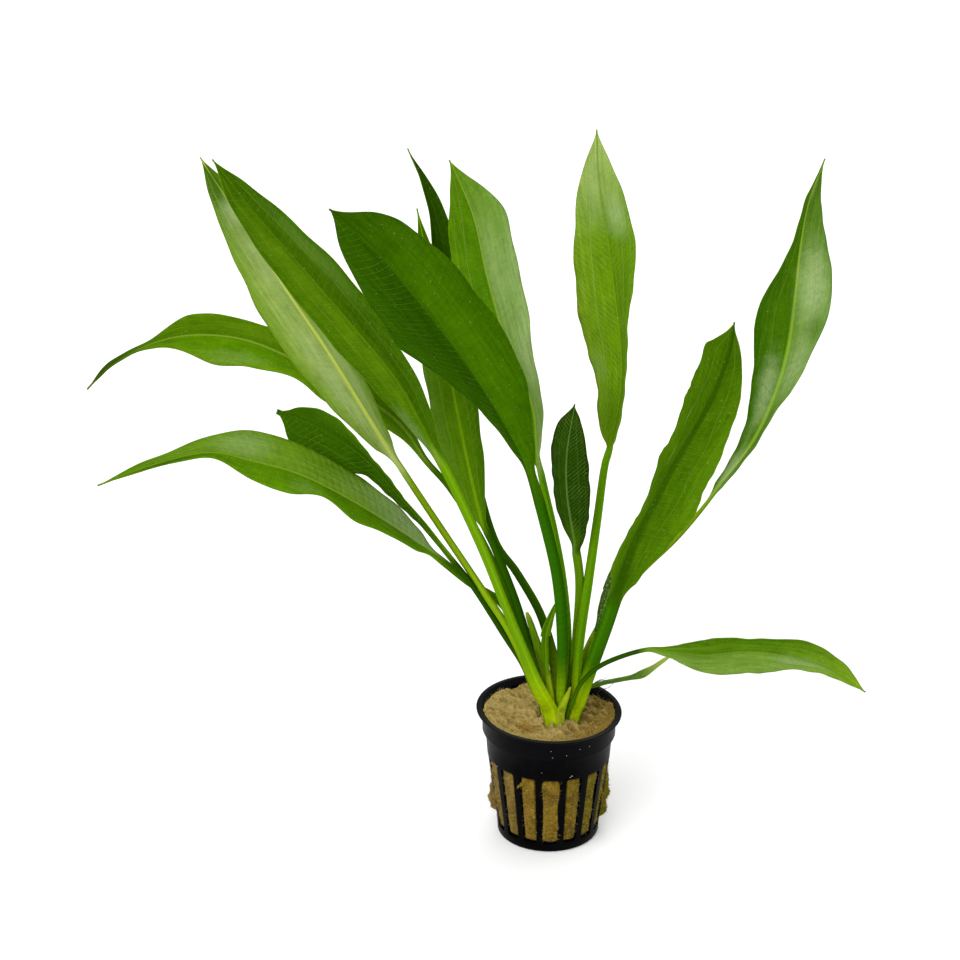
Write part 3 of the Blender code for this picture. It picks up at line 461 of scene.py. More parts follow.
# What holds for a leaf whose own look says nothing else
USUAL_LOOK = dict(
    stalk_colour=(92, 136, 10), foot_colour=(176, 196, 30), edge=(118, 156, 14), spacing=3.4, slant=0.55,
    rib_width=0.8, rib_strength=0.7, vein_strength=0.24, cross=(0.2, 0.2), specks=0.0, relief=0.8, grain=0.5,
    sheath=2.4, tip_width=0.3, ragged=0.0, patches=(),
)
LOOKS = {
    "leaf_left_pale": dict(
        left=(152, 180, 88), left_margin=(128, 164, 52), right=(138, 168, 78), right_margin=(112, 148, 44),
        tip=(70, 112, 6), rib=(206, 222, 96), vein=(190, 210, 120), foot_colour=(170, 192, 24),
        rib_width=1.3, rib_strength=0.9, vein_strength=0.3, cross=(0.35, 0.4), stalk_colour=(134, 170, 18),
        grain=0.3,
        patches=(
            (0.2, 0.83, 0.9, 0.05, 0.75, SHEEN), (0.1, 0.7, 0.5, 0.16, 0.4, SHEEN),
            (-0.35, 0.3, 0.3, 0.22, 0.35, SHEEN), (0.4, 0.3, 0.3, 0.2, 0.25, SHEEN),
            (0.0, 0.93, 1.2, 0.07, 0.9, (66, 108, 4)), (-0.95, 0.5, 0.22, 0.4, 0.6, (112, 152, 22)),
            (0.0, 0.02, 1.1, 0.07, 0.75, (212, 224, 136)), (-0.1, 0.995, 0.5, 0.01, 0.8, (190, 170, 110)),
        ),
    ),
    "leaf_left_tall": dict(
        left=(84, 126, 6), left_margin=(72, 114, 3), right=(64, 104, 2), right_margin=(66, 108, 8),
        tip=(58, 98, 2), rib=(96, 140, 12), vein=(118, 156, 36), rib_strength=0.55,
        foot_colour=(166, 196, 8), stalk_colour=(112, 160, 14), sheath=3.1, relief=0.7, cross=(0.5, 0.4),
        patches=(
            (0.66, 0.66, 0.3, 0.2, 0.45, (118, 150, 62)), (-0.25, 0.45, 0.2, 0.3, 0.2, LIGHT),
            (-0.1, 0.03, 0.5, 0.04, 0.6, (160, 192, 60)), (-0.75, 0.1, 0.4, 0.1, 0.55, (140, 168, 104)),
            (-0.5, 0.75, 0.4, 0.2, 0.25, LIGHT), (0.35, 0.35, 0.25, 0.3, 0.4, SHADE),
        ),
    ),
    "leaf_front_broad": dict(
        left=(66, 112, 1), left_margin=(58, 102, 1), right=(42, 82, 1), right_margin=(52, 96, 3),
        tip=(52, 94, 1), rib=(62, 110, 4), vein=(96, 140, 22), rib_strength=0.35, vein_strength=0.14,
        cross=(0.16, 0.8), slant=0.15, spacing=2.9, edge=(70, 112, 4), stalk_colour=(50, 106, 6),
        foot_colour=(150, 186, 10), relief=0.9, rib_width=1.6,
        patches=(
            (-0.35, 0.55, 0.3, 0.3, 0.3, (84, 132, 4)), (0.2, 0.6, 0.14, 0.35, 0.5, (30, 66, 0)),
            (-0.75, 0.8, 0.3, 0.14, 0.35, (84, 130, 8)), (0.0, 0.995, 0.6, 0.012, 0.8, BROWN),
            (0.0, 0.04, 1.0, 0.06, 0.5, (40, 82, 1)),
        ),
    ),
    "leaf_left_arched_high": dict(
        left=(90, 138, 4), left_margin=(104, 148, 12), right=(82, 124, 4), right_margin=(88, 130, 6),
        tip=(54, 88, 8), rib=(140, 174, 52), vein=(116, 156, 30), rib_strength=0.75,
        stalk_colour=(70, 112, 4), cross=(0.3, 0.25), tip_width=0.5,
        patches=(
            (0.0, 0.93, 1.6, 0.12, 0.75, DARK), (-0.7, 0.55, 0.3, 0.1, 0.35, SOFT_SHEEN),
            (0.5, 0.5, 0.4, 0.1, 0.4, LIGHT), (0.1, 0.15, 1.0, 0.1, 0.6, (54, 88, 4)),
        ),
    ),
    "leaf_left_arched_low": dict(
        left=(92, 142, 4), left_margin=(98, 148, 6), right=(110, 150, 34), right_margin=(104, 146, 22),
        tip=(84, 128, 6), rib=(136, 174, 38), vein=(130, 168, 50), rib_strength=0.75,
        stalk_colour=(80, 124, 6), cross=(0.3, 0.3), tip_width=0.4,
        patches=(
            (0.6, 0.12, 0.8, 0.17, 1.0, (148, 170, 118)), (0.5, 0.3, 0.5, 0.08, 0.35, SOFT_SHEEN),
            (0.5, 0.63, 0.5, 0.09, 0.6, (160, 184, 116)), (-0.5, 0.82, 0.5, 0.16, 0.85, (42, 72, 4)),
            (-0.6, 0.45, 0.4, 0.05, 0.35, SOFT_SHEEN),
        ),
    ),
    "leaf_left_short": dict(
        left=(56, 100, 2), left_margin=(50, 92, 2), right=(64, 110, 4), right_margin=(84, 130, 6),
        tip=(58, 100, 2), rib=(84, 128, 10), vein=(108, 150, 30), vein_strength=0.22, cross=(0.7, 0.3),
        ragged=0.5, tip_width=1.6, stalk_colour=(40, 78, 2), foot_colour=(130, 166, 12), relief=0.8,
        spacing=2.6,
    ),
    "leaf_back_left": dict(
        left=(88, 134, 6), left_margin=(96, 140, 30), right=(84, 130, 4), right_margin=(66, 110, 2),
        tip=(56, 98, 2), rib=(134, 176, 16), vein=(138, 172, 50), rib_width=1.1, stalk_colour=(48, 94, 2),
        cross=(0.4, 0.6), sheath=3.4, foot_colour=(150, 184, 10),
        patches=((0.0, 0.5, 1.2, 0.16, 0.5, (46, 84, 2)),),
    ),
    "leaf_back_dark": dict(
        left=(42, 78, 2), left_margin=(30, 58, 1), right=(48, 86, 2), right_margin=(50, 90, 3),
        tip=(38, 70, 2), rib=(60, 98, 6), vein=(70, 108, 14), stalk_colour=(48, 88, 2), cross=(0.15, 0.25),
        sheath=2.5, foot_colour=(150, 184, 10),
    ),
    "leaf_back_glossy": dict(
        left=(86, 138, 1), left_margin=(94, 144, 2), right=(134, 170, 78), right_margin=(150, 182, 102),
        tip=(92, 140, 2), rib=(150, 184, 62), vein=(150, 180, 88), rib_width=1.0, rib_strength=0.75,
        cross=(0.2, 0.35), stalk_colour=(100, 152, 12), foot_colour=(168, 196, 14),
        patches=(
            (0.62, 0.36, 0.35, 0.13, 0.5, SHEEN), (0.3, 0.62, 0.25, 0.2, 0.25, SHEEN),
            (0.7, 0.8, 0.3, 0.12, 0.3, LIGHT), (0.8, 0.2, 0.4, 0.1, 0.5, (84, 134, 4)),
        ),
    ),
    "leaf_centre_tall": dict(
        left=(110, 154, 6), left_margin=(120, 160, 22), right=(98, 144, 4), right_margin=(104, 150, 12),
        tip=(166, 194, 100), rib=(126, 168, 16), vein=(178, 206, 98), relief=0.8, cross=(0.6, 0.45),
        spacing=2.4, slant=0.9, stalk_colour=(110, 164, 10), foot_colour=(170, 198, 10),
        patches=(
            (0.45, 0.74, 0.45, 0.08, 0.6, SHEEN), (-0.3, 0.85, 0.5, 0.14, 0.35, (186, 206, 140)),
            (-0.3, 0.09, 1.0, 0.13, 0.75, (62, 102, 1)), (0.6, 0.5, 0.3, 0.2, 0.4, (78, 122, 2)),
            (-0.75, 0.27, 0.25, 0.06, 0.5, SOFT_SHEEN), (0.4, 0.3, 0.5, 0.18, 0.4, (80, 124, 2)),
        ),
    ),
    "leaf_centre_small": dict(
        left=(34, 72, 1), left_margin=(28, 62, 1), right=(42, 84, 1), right_margin=(32, 68, 1),
        tip=(44, 80, 3), rib=(112, 148, 66), vein=(138, 172, 70), vein_strength=0.1, cross=(0.6, 0.6),
        spacing=1.75, slant=1.1, rib_strength=0.7, relief=0.8, stalk_colour=(104, 150, 16),
        foot_colour=(150, 184, 10), edge=(36, 64, 2),
        patches=((0.0, 0.08, 0.8, 0.14, 0.6, (96, 142, 10)),),
    ),
    "leaf_right_wavy": dict(
        left=(70, 112, 2), left_margin=(78, 124, 3), right=(66, 108, 2), right_margin=(84, 128, 4),
        tip=(68, 110, 1), rib=(42, 78, 2), vein=(120, 158, 40), rib_width=2.4, rib_strength=0.7,
        cross=(0.5, 0.42), sheath=2.4, stalk_colour=(56, 110, 4), foot_colour=(168, 200, 8), relief=0.9,
        spacing=3.0,
        patches=(
            (0.5, 0.62, 0.03, 0.05, 0.5, (150, 184, 74)), (0.42, 0.5, 0.03, 0.05, 0.5, (150, 184, 74)),
            (-0.75, 0.72, 0.07, 0.012, 0.9, BROWN), (-0.9, 0.5, 0.3, 0.3, 0.3, LIGHT),
            (0.0, 0.06, 1.2, 0.09, 0.5, (46, 86, 1)),
        ),
    ),
    "leaf_right_outer": dict(
        left=(76, 124, 6), left_margin=(58, 106, 2), right=(116, 156, 58), right_margin=(120, 158, 70),
        tip=(74, 120, 6), rib=(152, 192, 54), vein=(130, 166, 62), rib_width=1.4, rib_strength=0.85,
        cross=(0.12, 0.12), stalk_colour=(132, 164, 24), foot_colour=(170, 196, 14),
        patches=(
            (-0.4, 0.36, 0.4, 0.12, 0.7, SHEEN), (0.5, 0.44, 0.5, 0.1, 0.6, SHEEN),
            (0.45, 0.66, 0.5, 0.13, 0.75, SHEEN), (-0.3, 0.13, 0.6, 0.07, 0.8, SHEEN),
            (-0.5, 0.24, 0.4, 0.06, 0.35, SOFT_SHEEN), (0.6, 0.22, 0.5, 0.15, 0.85, (60, 108, 1)),
            (0.75, 0.55, 0.3, 0.05, 0.7, (66, 114, 3)), (-0.2, 0.58, 0.4, 0.08, 0.4, (62, 108, 2)),
            (0.1, 0.93, 0.3, 0.05, 0.5, (176, 198, 110)),
        ),
    ),
    "leaf_right_low": dict(
        left=(92, 136, 12), left_margin=(70, 116, 3), right=(112, 150, 50), right_margin=(120, 156, 60),
        tip=(124, 162, 30), rib=(110, 150, 34), vein=(130, 164, 60), sheath=0.8, stalk_colour=(38, 76, 3),
        foot_colour=(74, 116, 5), cross=(0.35, 0.3),
        patches=(
            (0.3, 0.72, 0.5, 0.14, 0.5, (170, 190, 130)), (-0.1, 0.3, 0.5, 0.2, 0.3, (64, 108, 3)),
            (0.0, 0.96, 0.6, 0.05, 0.4, (160, 196, 30)),
        ),
    ),
    "leaf_right_sliver": dict(
        left=(52, 92, 5), left_margin=(44, 80, 4), right=(66, 108, 6), right_margin=(110, 140, 60),
        tip=(100, 132, 40), rib=(110, 144, 40), vein=(150, 176, 96), sheath=1.4,
        # Its pale specks are painted glints of water drops
        stalk_colour=(100, 136, 24), foot_colour=(140, 172, 12), specks=0.45,
        patches=((0.5, 0.6, 0.16, 0.26, 0.9, (216, 228, 196)), (-0.3, 0.4, 0.5, 0.4, 0.4, (56, 96, 6))),
    ),
    "leaf_newest": dict(
        left=(84, 132, 4), left_margin=(76, 122, 3), right=(92, 138, 6), right_margin=(86, 132, 5),
        tip=(96, 142, 8), rib=(110, 152, 14), vein=(110, 152, 14), sheath=1.2, stalk_colour=(88, 136, 5),
    ),
}
SHOOT_LOOKS = {
    "stalk_stub_left": dict(
        body=(112, 154, 12), foot=(164, 192, 14), pale_to=0.6, brown=0.1, end=(150, 170, 50), end_from=0.9,
    ),
    "stalk_stub_centre": dict(
        body=(80, 122, 6), foot=(150, 180, 14), pale_to=0.6, brown=0.1, end=(110, 110, 40), end_from=0.9,
    ),
    "front_sheath": dict(
        body=(160, 184, 26), foot=(174, 190, 40), pale_to=0.3, brown=0.15, end=(176, 178, 90), end_from=0.9,
    ),
    "runner": dict(
        body=(96, 138, 44), foot=(70, 112, 16), pale_to=0.45, brown=0.35, end=(176, 190, 84), end_from=0.62,
    ),
}

# Fine root threads by the runner: places along each, its radius and its colour
ROOTS = (
    (((17.9, 1.0, 62.1), (19.6, 1.0, 63.1), (21.2, 1.0, 63.8), (22.2, 1.0, 65.3)), 0.12, (126, 58, 44)),
    (((17.1, 2.0, 61.3), (19.2, 2.0, 62.6), (21.6, 2.0, 62.2), (24.4, 2.0, 60.9)), 0.2, (44, 34, 20)),
    (((18.3, 2.0, 59.6), (20.8, 2.0, 58.8), (23.2, 2.0, 60.1), (24.4, 2.0, 62.2)), 0.16, (52, 42, 24)),
    (((18.6, 6.0, 51.0), (19.5, 6.0, 52.6), (18.3, 6.0, 54.8), (19.9, 6.0, 56.6)), 0.1, (150, 128, 80)),
)


# Small helpers


def colour(red, green, blue):
    """A linear colour from everyday values of 0 to 255."""
    def linear(value):
        value /= 255.0
        return value / 12.92 if value <= 0.04045 else ((value + 0.055) / 1.055) ** 2.4
    return (linear(red), linear(green), linear(blue), 1.0)


def lit(red, green, blue):
    """The colour of a surface that looks like these everyday values under this stage's bright light."""
    return (*(part / STAGE_LIGHT for part in colour(red, green, blue)[:3]), 1.0)


def smooth_value(values, share):
    """A smooth curve through evenly spaced numbers or points, read at a share of its length."""
    last = len(values) - 1
    place = max(0.0, min(1.0, share)) * last
    low = min(int(place), last - 1)
    k = place - low
    before, start, end, after = (values[max(0, min(last, low + i))] for i in (-1, 0, 1, 2))
    bend = 2 * before - 5 * start + 4 * end - after
    twist = 3 * start - before - 3 * end + after
    return (2 * start + (end - before) * k + bend * k * k + twist * k * k * k) * 0.5


def straight_value(values, share):
    """Evenly spaced values joined by straight lines."""
    last = len(values) - 1
    place = max(0.0, min(1.0, share)) * last
    low = min(int(place), last - 1)
    return values[low] + (values[low + 1] - values[low]) * (place - low)


def value_at(height, levels):
    """The value at a height, from (value, height) pairs that are joined by straight lines."""
    rising = sorted((level, value) for value, level in levels)
    if height <= rising[0][0]:
        return rising[0][1]
    for (low, start), (high, end) in zip(rising, rising[1:]):
        if height <= high:
            return start + (end - start) * (height - low) / (high - low)
    return rising[-1][1]


def ease(value, low, high):
    """0 below low, 1 above high and a smooth step between them."""
    k = max(0.0, min(1.0, (value - low) / (high - low)))
    return k * k * (3 - 2 * k)


def polar(radius, angle, height):
    """A place from its distance to the pot's axis, its angle round it and its height."""
    return (radius * math.cos(angle), radius * math.sin(angle), height)


def crown_polar(radius, angle, height):
    """A place from its distance to the crown's axis, its angle round it and its height."""
    return (CROWN_AXIS[0] + radius * math.cos(angle), CROWN_AXIS[1] + radius * math.sin(angle), height)


def mesh_object(name, points, faces):
    """A smooth shaded mesh from points in millimetres."""
    mesh = bpy.data.meshes.new(name)
    mesh.from_pydata([Vector(point) * MM for point in points], [], faces)
    mesh.validate()
    mesh.polygons.foreach_set("use_smooth", [True] * len(mesh.polygons))
    item = bpy.data.objects.new(name, mesh)
    bpy.context.scene.collection.objects.link(item)
    return item


def face_outwards(item):
    """Turns a closed mesh's faces round if they point inwards, which shows in the sign of its volume."""
    shape = bmesh.new()
    shape.from_mesh(item.data)
    if shape.calc_volume(signed=True) < 0:
        bmesh.ops.reverse_faces(shape, faces=shape.faces)
    shape.to_mesh(item.data)
    shape.free()


def lofted(name, rings):
    """A skin through rings that have equally many points, closed at both ends."""
    count = len(rings[0])
    points = [point for ring in rings for point in ring]
    faces = []
    for low in range(0, len(points) - count, count):
        for i in range(count):
            j = (i + 1) % count
            faces.append((low + i, low + j, low + count + j, low + count + i))
    faces.append(tuple(reversed(range(count))))
    faces.append(tuple(range(len(points) - count, len(points))))
    item = mesh_object(name, points, faces)
    face_outwards(item)
    return item


def vector_attribute(item, name, values):
    """Stores a vector for each point of a mesh, which its material reads."""
    layer = item.data.attributes.new(name, "FLOAT_VECTOR", "POINT")
    layer.data.foreach_set("vector", [part for value in values for part in value])


def plain_mesh(item):
    """Takes the object's modifiers into its mesh."""
    graph = bpy.context.evaluated_depsgraph_get()
    mesh = bpy.data.meshes.new_from_object(item.evaluated_get(graph))
    item.modifiers.clear()
    item.data = mesh


def finish_piece(item, made_of, slot, *nodes):
    """Gives a finished piece its material, hides the solids that it stands for, and puts it in its body; the
    slot is not used.
    """
    item.data.materials.clear()
    item.data.materials.append(made_of)
    if nodes:
        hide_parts(*nodes)
    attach(item, BODY)


# Node helpers


class Nodes:
    """Adds nodes to a tree and links them in one call each."""

    def __init__(self, tree):
        self.tree = tree

    def add(self, kind, inputs=None, **settings):
        node = self.tree.nodes.new(kind)
        for key, value in settings.items():
            setattr(node, key, value)
        for key, value in (inputs or {}).items():
            self.put(node.inputs[key], value)
        return node

    def put(self, socket, value):
        """Links a node's output to a socket, or sets the socket to a plain value."""
        if isinstance(value, bpy.types.NodeSocket):
            self.tree.links.new(value, socket)
        else:
            socket.default_value = value

    def math(self, operation, first, second=0.0):
        return self.add("ShaderNodeMath", {0: first, 1: second}, operation=operation).outputs[0]

    def times(self, first, second):
        return self.math("MULTIPLY", first, second)

    def plus(self, first, second):
        return self.math("ADD", first, second)

    def minus(self, first, second):
        return self.math("SUBTRACT", first, second)

    def most(self, first, second):
        return self.math("MAXIMUM", first, second)

    def ramp(self, value, low, high, start=0.0, end=1.0):
        """Smooth step of a value from low to high."""
        inputs = {"Value": value, "From Min": low, "From Max": high, "To Min": start, "To Max": end}
        node = self.add("ShaderNodeMapRange", inputs, interpolation_type="SMOOTHSTEP")
        return node.outputs["Result"]

    def mix(self, share, first, second, blend="MIX"):
        node = self.add("ShaderNodeMix", {0: share, 6: first, 7: second}, data_type="RGBA", blend_type=blend)
        return node.outputs[2]

    def tint(self, base, mask, strength, other):
        """The base colour with another colour laid over it where the mask is, at most at this strength."""
        return self.mix(self.times(mask, strength), base, other)

    def toned(self, base, factors):
        """A colour with its red, green and blue each times a factor."""
        return self.mix(1.0, base, (*factors, 1.0), "MULTIPLY")

    def noise(self, vector, scale, detail=3.0, rough=0.55):
        inputs = {"Vector": vector, "Scale": scale, "Detail": detail, "Roughness": rough}
        return self.add("ShaderNodeTexNoise", inputs).outputs["Fac"]

    def attribute(self, name):
        return self.add("ShaderNodeAttribute", attribute_name=name).outputs["Vector"]

    def parts(self, vector):
        return self.add("ShaderNodeSeparateXYZ", {0: vector}).outputs

    def joined(self, x, y, z=0.0):
        return self.add("ShaderNodeCombineXYZ", {0: x, 1: y, 2: z}).outputs[0]

    def scaled(self, vector, factor):
        return self.add("ShaderNodeVectorMath", {0: vector, "Scale": factor}, operation="SCALE").outputs[0]

    def stretched(self, vector, factors):
        """A vector with its x, y and z each times a factor."""
        return self.add("ShaderNodeVectorMath", {0: vector, 1: factors}, operation="MULTIPLY").outputs[0]

    def moved(self, vector, offset):
        return self.add("ShaderNodeVectorMath", {0: vector, 1: offset}, operation="ADD").outputs[0]

    def object_place(self):
        return self.add("ShaderNodeTexCoord").outputs["Object"]

    def place_in_millimetres(self):
        return self.scaled(self.object_place(), 1.0 / MM)


def new_group(name, inputs, outputs):
    """An empty shader node group; inputs and outputs are (name, kind) rows."""
    tree = bpy.data.node_groups.new(name, "ShaderNodeTree")
    for direction, rows in (("INPUT", inputs), ("OUTPUT", outputs)):
        for label, kind in rows:
            tree.interface.new_socket(label, in_out=direction, socket_type="NodeSocket" + kind)
    nodes = Nodes(tree)
    start = nodes.add("NodeGroupInput")
    end = nodes.add("NodeGroupOutput")
    return nodes, start.outputs, end.inputs


def new_material(name):
    """An empty material with its nodes and its shader."""
    made = bpy.data.materials.new(name)
    made.use_nodes = True
    nodes = Nodes(made.node_tree)
    return made, nodes, made.node_tree.nodes["Principled BSDF"]


def use_group(nodes, group, inputs):
    """Places a node group in a material with its own values, and gives its outputs."""
    node = nodes.add("ShaderNodeGroup", node_tree=group)
    for key, value in inputs.items():
        nodes.put(node.inputs[key], value)
    return node.outputs


def set_gloss(shader, roughness, specular=0.5):
    """How rough a surface is, and how strongly it mirrors light."""
    shader.inputs["Roughness"].default_value = roughness
    shader.inputs["Specular IOR Level"].default_value = specular


def add_relief(n, shader, strength, depth, height):
    """Relief on a surface; its depth is in millimetres."""
    bump = n.add("ShaderNodeBump", {"Strength": strength, "Distance": depth * MM, "Height": height})
    n.put(shader.inputs["Normal"], bump.outputs["Normal"])


# Leaf tissue


def vein_group():
    """Masks of a sword plant's veins, from millimetres across the rib, along it, and in from the edge."""
    inputs = (("Spacing", "Float"), ("Slant", "Float"), ("Rib Width", "Float"))
    outputs = [(label, "Float") for label in (*VEIN_MASKS, "Height")]
    n, given, made = new_group("leaf_veins", inputs, outputs)
    x, y, edge = n.parts(n.attribute("place"))
    _, along, top = n.parts(n.attribute("share"))
    away = n.math("ABSOLUTE", x)
    half = n.most(n.plus(away, edge), 0.4)
    drift = n.minus(n.noise(n.joined(x, y), 0.07, 1.0), 0.5)
    faint = n.ramp(n.noise(n.joined(x, y), 0.13, 2.0), 0.36, 0.64, 0.15, 1.0)

    # The rib narrows towards the tip
    width = n.times(given["Rib Width"], n.ramp(along, 0.0, 1.1, 1.15, 0.35))
    rib = n.ramp(away, n.times(width, 0.35), width, 1.0, 0.0)

    # Two parallel veins on each half, the outer one finer
    def parallel(share, thick, strength):
        off = n.minus(away, n.times(half, share))
        off = n.math("ABSOLUTE", n.plus(off, n.times(drift, 1.2)))
        return n.times(n.ramp(off, thick * 0.35, thick, 1.0, 0.0), strength)

    lateral = n.most(parallel(0.5, 0.38, 1.0), parallel(0.8, 0.26, 0.5))
    lateral = n.times(lateral, n.ramp(along, 0.02, 0.15))
    lateral = n.times(lateral, n.ramp(half, 1.5, 3.5))

    # Cross veins leave the rib at a slant and bend on towards the tip
    slanted = n.times(away, given["Slant"])
    bent = n.times(n.math("POWER", away, 2.0), 0.018)
    run = n.minus(n.minus(y, slanted), bent)
    side = n.times(n.math("SIGN", x), 0.27)
    run = n.plus(n.math("DIVIDE", run, given["Spacing"]), n.times(drift, 1.6))
    run = n.plus(run, side)
    off = n.math("ABSOLUTE", n.minus(n.math("FRACT", run), 0.5))
    off = n.times(off, given["Spacing"])
    cross = n.times(n.ramp(off, 0.03, 0.2, 1.0, 0.0), faint)
    cross = n.times(cross, n.ramp(edge, 0.2, 1.2))
    cross = n.times(cross, n.ramp(half, 1.8, 4.0))

    # A fine net between them
    inputs = {"Vector": n.joined(x, y), "Scale": 0.85}
    cells = n.add("ShaderNodeTexVoronoi", inputs, feature="DISTANCE_TO_EDGE")
    net = n.ramp(cells.outputs["Distance"], 0.0, 0.13, 1.0, 0.0)
    net = n.times(net, n.ramp(half, 1.5, 3.0))

    # The tissue swells between the veins on the upper side, and the veins stand out underneath
    strong = n.most(n.most(rib, lateral), n.times(cross, 0.8))
    height = n.most(strong, n.times(net, 0.25))
    swell = n.times(n.ramp(off, 0.0, 1.4), 0.5)
    height = n.minus(height, swell)
    sign = n.minus(1.0, n.times(top, 2.0))
    height = n.times(height, sign)
    for key, value in zip((*VEIN_MASKS, "Height"), (rib, lateral, cross, net, height)):
        n.put(made[key], value)
    return n.tree


def blade_halves(n, given, across, along, side):
    """The blade's left and right halves with their margins, and its change of colour towards the tip, with
    painted sheen, light and shade mixed into the leaf's own greens.
    """
    outer = n.ramp(n.math("ABSOLUTE", across), 0.25, 1.0)
    left = n.mix(outer, given["Left"], given["Left Margin"])
    right = n.mix(outer, given["Right"], given["Right Margin"])
    return n.mix(n.ramp(along, 0.62, 1.0), n.mix(side, left, right), given["Tip"])


def blade_clouds(n, blade, x, y):
    """Clouds, grain, and streaks of light and shade along the blade."""
    dark = n.toned(blade, (0.55, 0.62, 0.5))
    light = n.toned(blade, (1.5, 1.35, 1.6))
    cloud = n.noise(n.joined(x, y), 0.16, 4.0, 0.6)
    blade = n.tint(blade, n.ramp(cloud, 0.5, 0.3), 0.4, dark)
    blade = n.tint(blade, n.ramp(cloud, 0.5, 0.72), 0.4, light)
    grain = n.noise(n.joined(x, y), 1.9, 3.0, 0.7)
    blade = n.tint(blade, n.ramp(grain, 0.52, 0.38), 0.3, dark)
    blade = n.tint(blade, n.ramp(grain, 0.5, 0.72), 0.35, light)
    lines = n.noise(n.joined(n.times(x, 0.9), n.times(y, 0.06)), 1.0, 3.0, 0.65)
    blade = n.tint(blade, n.ramp(lines, 0.5, 0.34), 0.45, dark)
    return n.tint(blade, n.ramp(lines, 0.5, 0.68), 0.4, light)


def blade_veins(n, given, blade, side):
    """The veins laid over the blade, each kind at its own strength."""
    blade = n.tint(blade, given["Net"], 0.07, given["Vein Colour"])
    lateral = n.times(given["Lateral"], given["Vein Strength"])
    reach = n.plus(n.times(side, given["Right Cross"]), n.times(n.minus(1.0, side), given["Left Cross"]))
    cross = n.times(given["Cross"], reach)
    blade = n.mix(n.most(lateral, cross), blade, given["Vein Colour"])
    return n.tint(blade, given["Rib"], given["Rib Strength"], given["Rib Colour"])


def blade_marks(n, given, blade, x, y, edge):
    """A thin rim along the edge, tiny pale flecks, and pale specks that are painted glints of water drops."""
    blade = n.tint(blade, n.ramp(edge, 0.32, 0.12), 0.8, given["Edge Colour"])
    fleck = n.noise(n.joined(x, y), 1.5, 1.0, 0.5)
    fleck = n.times(n.ramp(fleck, 0.72, 0.78), n.plus(0.35, given["Specks"]))
    # Painted glints of water drops, where a leaf has them
    specks = n.times(n.ramp(n.noise(n.joined(x, y), 1.1), 0.56, 0.66), given["Specks"])
    return n.mix(n.most(fleck, specks), blade, (0.55, 0.62, 0.42, 1.0))


def stalk_tissue(n, given, x, y, across):
    """The stalk, paler down to its foot, with fine streaks, painted shade along its sides and a painted
    highlight stripe along its middle.
    """
    low = n.parts(n.object_place())[2]
    stalk = n.mix(n.ramp(low, STALK_GREEN_FROM * MM, STALK_PALE_TO * MM), given["Stalk"], given["Foot"])
    shade = n.toned(stalk, (0.55, 0.66, 0.5))
    streaks = n.noise(n.joined(n.times(x, 3.2), n.times(y, 0.05)), 1.0, 3.0)
    stalk = n.tint(stalk, n.ramp(streaks, 0.55, 0.38), 0.35, shade)
    # Painted shade darkens the round stalk's sides
    stalk = n.tint(stalk, n.ramp(n.math("ABSOLUTE", across), 0.62, 0.98), 0.6, shade)
    # A painted highlight runs along the stalk near its middle
    bright = n.toned(stalk, (1.55, 1.4, 1.7))
    highlight_stripe = n.ramp(n.math("ABSOLUTE", n.minus(across, 0.2)), 0.3, 0.05)
    return n.tint(stalk, highlight_stripe, 0.45, bright)


def tissue_group():
    """A leaf's colour from its halves, its veins, its stalk and its flecks."""
    colours = (
        "Left", "Left Margin", "Right", "Right Margin", "Tip", "Stalk", "Foot", "Rib Colour", "Vein Colour",
        "Edge Colour",
    )
    shares = ("Rib Strength", "Vein Strength", "Left Cross", "Right Cross", "Specks", *VEIN_MASKS)
    inputs = [(label, "Color") for label in colours] + [(label, "Float") for label in shares]
    n, given, made = new_group("leaf_tissue", inputs, (("Colour", "Color"),))
    x, y, edge = n.parts(n.attribute("place"))
    across, along, _ = n.parts(n.attribute("share"))
    side = n.ramp(across, -0.05, 0.05)
    blade = blade_halves(n, given, across, along, side)
    blade = blade_clouds(n, blade, x, y)
    blade = blade_veins(n, given, blade, side)
    blade = blade_marks(n, given, blade, x, y, edge)
    stalk = stalk_tissue(n, given, x, y, across)
    n.put(made["Colour"], n.mix(n.ramp(along, -0.02, 0.05), stalk, blade))
    return n.tree


def patch_group():
    """A soft patch on a blade, longer along it than across, broken up by fine grain; most patches are painted
    sheen, light and shade.
    """
    inputs = [(label, "Float") for label in ("Across", "Along", "Width", "Length", "Grain")]
    n, given, made = new_group("leaf_patch", inputs, (("Mask", "Float"),))
    x, y, _ = n.parts(n.attribute("place"))
    across, along, _ = n.parts(n.attribute("share"))
    wide = n.math("DIVIDE", n.minus(across, given["Across"]), given["Width"])
    long = n.math("DIVIDE", n.minus(along, given["Along"]), given["Length"])
    away = n.math("SQRT", n.plus(n.math("POWER", wide, 2.0), n.math("POWER", long, 2.0)))
    uneven = n.minus(n.noise(n.joined(x, y), 0.2, 3.0, 0.5), 0.5)
    away = n.plus(away, n.times(uneven, 0.8))
    streaks = n.noise(n.joined(n.times(x, 2.4), n.times(y, 0.5)), 1.0, 3.0, 0.7)
    fine = n.times(n.ramp(streaks, 0.62, 0.4), given["Grain"])
    grit = n.noise(n.joined(x, y), 3.4, 2.0, 0.8)
    fine = n.most(fine, n.times(n.ramp(grit, 0.56, 0.4), given["Grain"]))
    n.put(made["Mask"], n.times(n.ramp(away, 1.3, 0.1), n.minus(1.0, fine)))
    return n.tree


